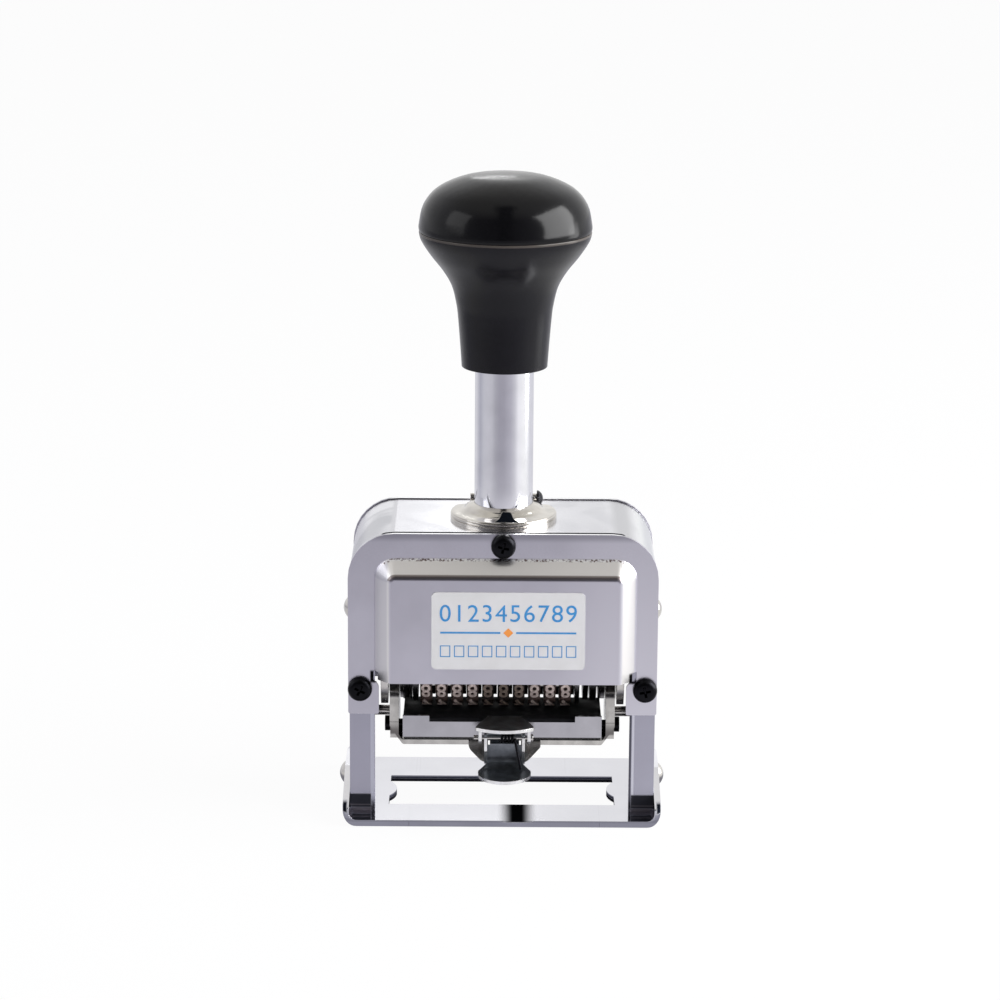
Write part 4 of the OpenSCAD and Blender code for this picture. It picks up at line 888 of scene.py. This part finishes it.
# A closed solid turned round Z from the profile's radii and heights.
screw_mesh = bpy.data.meshes.new("screw_head")
with reshaped(screw_mesh) as shape:
    rings = []
    for radius, height in screw_profile:
        turns = [2 * math.pi * k / around_screw for k in range(around_screw if radius else 1)]
        rings.append([shape.verts.new((radius * math.cos(a) * MM, radius * math.sin(a) * MM, height * MM))
                      for a in turns])
    for low, high in zip(rings, rings[1:]):
        for k in range(around_screw):
            n = (k + 1) % around_screw
            corners = [low[k % len(low)], low[n % len(low)], high[n % len(high)], high[k % len(high)]]
            shape.faces.new(list(dict.fromkeys(corners)))
    bmesh.ops.recalc_face_normals(shape, faces=shape.faces)
screw_head = mesh_object("screw_head", screw_mesh, black_steel)
for turn in (0, math.pi / 2):
    recess_mesh = bpy.data.meshes.new("recess")
    with reshaped(recess_mesh) as shape:
        bmesh.ops.create_cube(shape, size=1.0, matrix=Matrix.Rotation(turn, 4, "Z")
                              @ Matrix.Translation((0, 0, recess_middle * MM))
                              @ Matrix.Diagonal([length * MM for length in recess_size] + [1]))
        for v in shape.verts:
            if v.co.z < recess_waist * MM:
                v.co.xy *= recess_taper
    cutter = mesh_object("recess", recess_mesh, black_steel)
    cut = screw_head.modifiers.new("recess", "BOOLEAN")
    cut.object, cut.operation, cut.solver = cutter, "DIFFERENCE", "EXACT"
    bake(screw_head)
    bpy.data.objects.remove(cutter)
finish_edges(screw_head, 38)

screw_tree, screw_keys, given = new_geometry_tree("screws at places", {
    "Places": "Geometry", "Screw": "Object", "Side": "Float", "Turn seed": "Int", "Finish": "Material"})
tree = screw_tree
screw_shape = add_node(tree, "GeometryNodeObjectInfo", {"Object": given["Screw"]})
hand_turn = add_node(tree, "FunctionNodeRandomValue", {"Max": math.pi / 2, "Seed": given["Turn seed"]})
turned_in, outward = (add_node(tree, "FunctionNodeEulerToRotation", {
    0: add_node(tree, "CombineXYZ", {axis: angle})}) for axis, angle in (
        ("Z", hand_turn), ("X", given["Side"])))
way_out = add_node(tree, "FunctionNodeRotateRotation", {0: outward, 1: turned_in},
                   rotation_space="LOCAL")
set_in = add_node(tree, "GeometryNodeInstanceOnPoints", {
    "Points": given["Places"], "Instance": screw_shape.outputs["Geometry"], "Rotation": way_out})
add_node(tree, "NodeGroupOutput", {0: made_real(tree, set_in, given["Finish"])})

for side, sign, seed in (("front", -1, 4), ("rear", 1, 9)):
    name = side + "_cover_screw_heads"
    points = bpy.data.meshes.new(name)
    points.from_pydata([(x * MM, sign * cover_plane * MM, z * MM) for x, z in screw_places], [], [])
    heads = mesh_object(name, points, black_steel)
    grow(heads, screw_tree, screw_keys, {"Screw": screw_head, "Side": -sign * math.pi / 2,
                                         "Turn seed": seed, "Finish": black_steel})
    part_of(heads, "frame", "blackened_steel", side + "_cover_screws")
bpy.data.objects.remove(screw_head)

# ---- Label ----
# Coated card glued on the front panel, printed in blue and orange with a row of
# figures, a rule and a row of empty boxes. Its cut edge shows as a pale line.

# Coated card: pale grey-white, a soft sheen, slightly mottled.
card_stock = two_tone("coated label card", "#c9c8c8", "#d3d3d4", 3, 4, 0.42)
# Screen-printed ink: a flat colour that varies a little with how thick it lies.
blue_ink = two_tone("blue label ink", "#2479b8", "#3a8fca", 1.2, 3, 0.38)
orange_ink = two_tone("orange label ink", "#e0842c", "#eb9a48", 1.2, 3, 0.38)
BLUE, ORANGE = 1, 2

label = merged_copy("label", "label_card", card_stock)
label.data.materials.append(blue_ink)
label.data.materials.append(orange_ink)
label_x, label_z = 1.3, 49.7
# The ink lies half sunk in the card's face.
ink_plane, ink_depth = -23.005, 0.05
# Heights of the three rows from the label's middle, and the spacing along them.
figure_row, rule_row, box_row = 4.5, -0.4, -5.1
first_place, place_step, places = -15.3, 3.4, 10
print_height, cap_share = 4.4, 0.72
rule_middle, rule_length, rule_width, diamond_side = 9.2, 14.6, 0.45, 1.7
box_half, box_width, box_height, box_line = (1.14, 1.35), 2.5, 2.5, 0.22


def printed(label_shape, mark, ink):
    """Adds a printed mark's faces to the label."""
    before = len(label_shape.faces)
    label_shape.from_mesh(mark)
    label_shape.faces.ensure_lookup_table()
    for face in label_shape.faces[before:]:
        face.material_index = ink
    bpy.data.meshes.remove(mark)


def printed_bar(label_shape, x, z, width, height, ink=BLUE, turn=0.0):
    mark = bpy.data.meshes.new("bar")
    with reshaped(mark) as shape:
        bmesh.ops.create_cube(shape, size=1.0, matrix=(
            Matrix.Translation(Vector((label_x + x, ink_plane, label_z + z)) * MM)
            @ Matrix.Rotation(turn, 4, "Y")
            @ Matrix.Diagonal((width * MM, ink_depth * MM, height * MM, 1))))
    printed(label_shape, mark, ink)


with reshaped(label.data) as label_shape:
    for k, sign in enumerate("0123456789"):
        mark = sign_mesh(sign, print_height / cap_share, ink_depth / 2, 5)
        with reshaped(mark) as shape:
            bmesh.ops.remove_doubles(shape, verts=shape.verts, dist=0.0005)
            middle = (min(v.co.y for v in shape.verts) + max(v.co.y for v in shape.verts)) / 2
            for v in shape.verts:
                v.co = Vector((label_x + first_place + place_step * k + v.co.x, ink_plane - v.co.z,
                               label_z + figure_row + v.co.y - middle)) * MM
            bmesh.ops.recalc_face_normals(shape, faces=shape.faces)
        printed(label_shape, mark, BLUE)
    for x in (-rule_middle, rule_middle):
        printed_bar(label_shape, x, rule_row, rule_length, rule_width)
    printed_bar(label_shape, 0, rule_row, diamond_side, diamond_side, ORANGE, math.pi / 4)
    for k in range(places):
        x = first_place + place_step * k
        for side in (1, -1):
            printed_bar(label_shape, x, box_row + side * box_half[1], box_width, box_line)
        for side in (-1, 1):
            printed_bar(label_shape, x + side * box_half[0], box_row, box_line, box_height)
finish_edges(label, 30)
part_of(label, "frame", "label_card", "label")
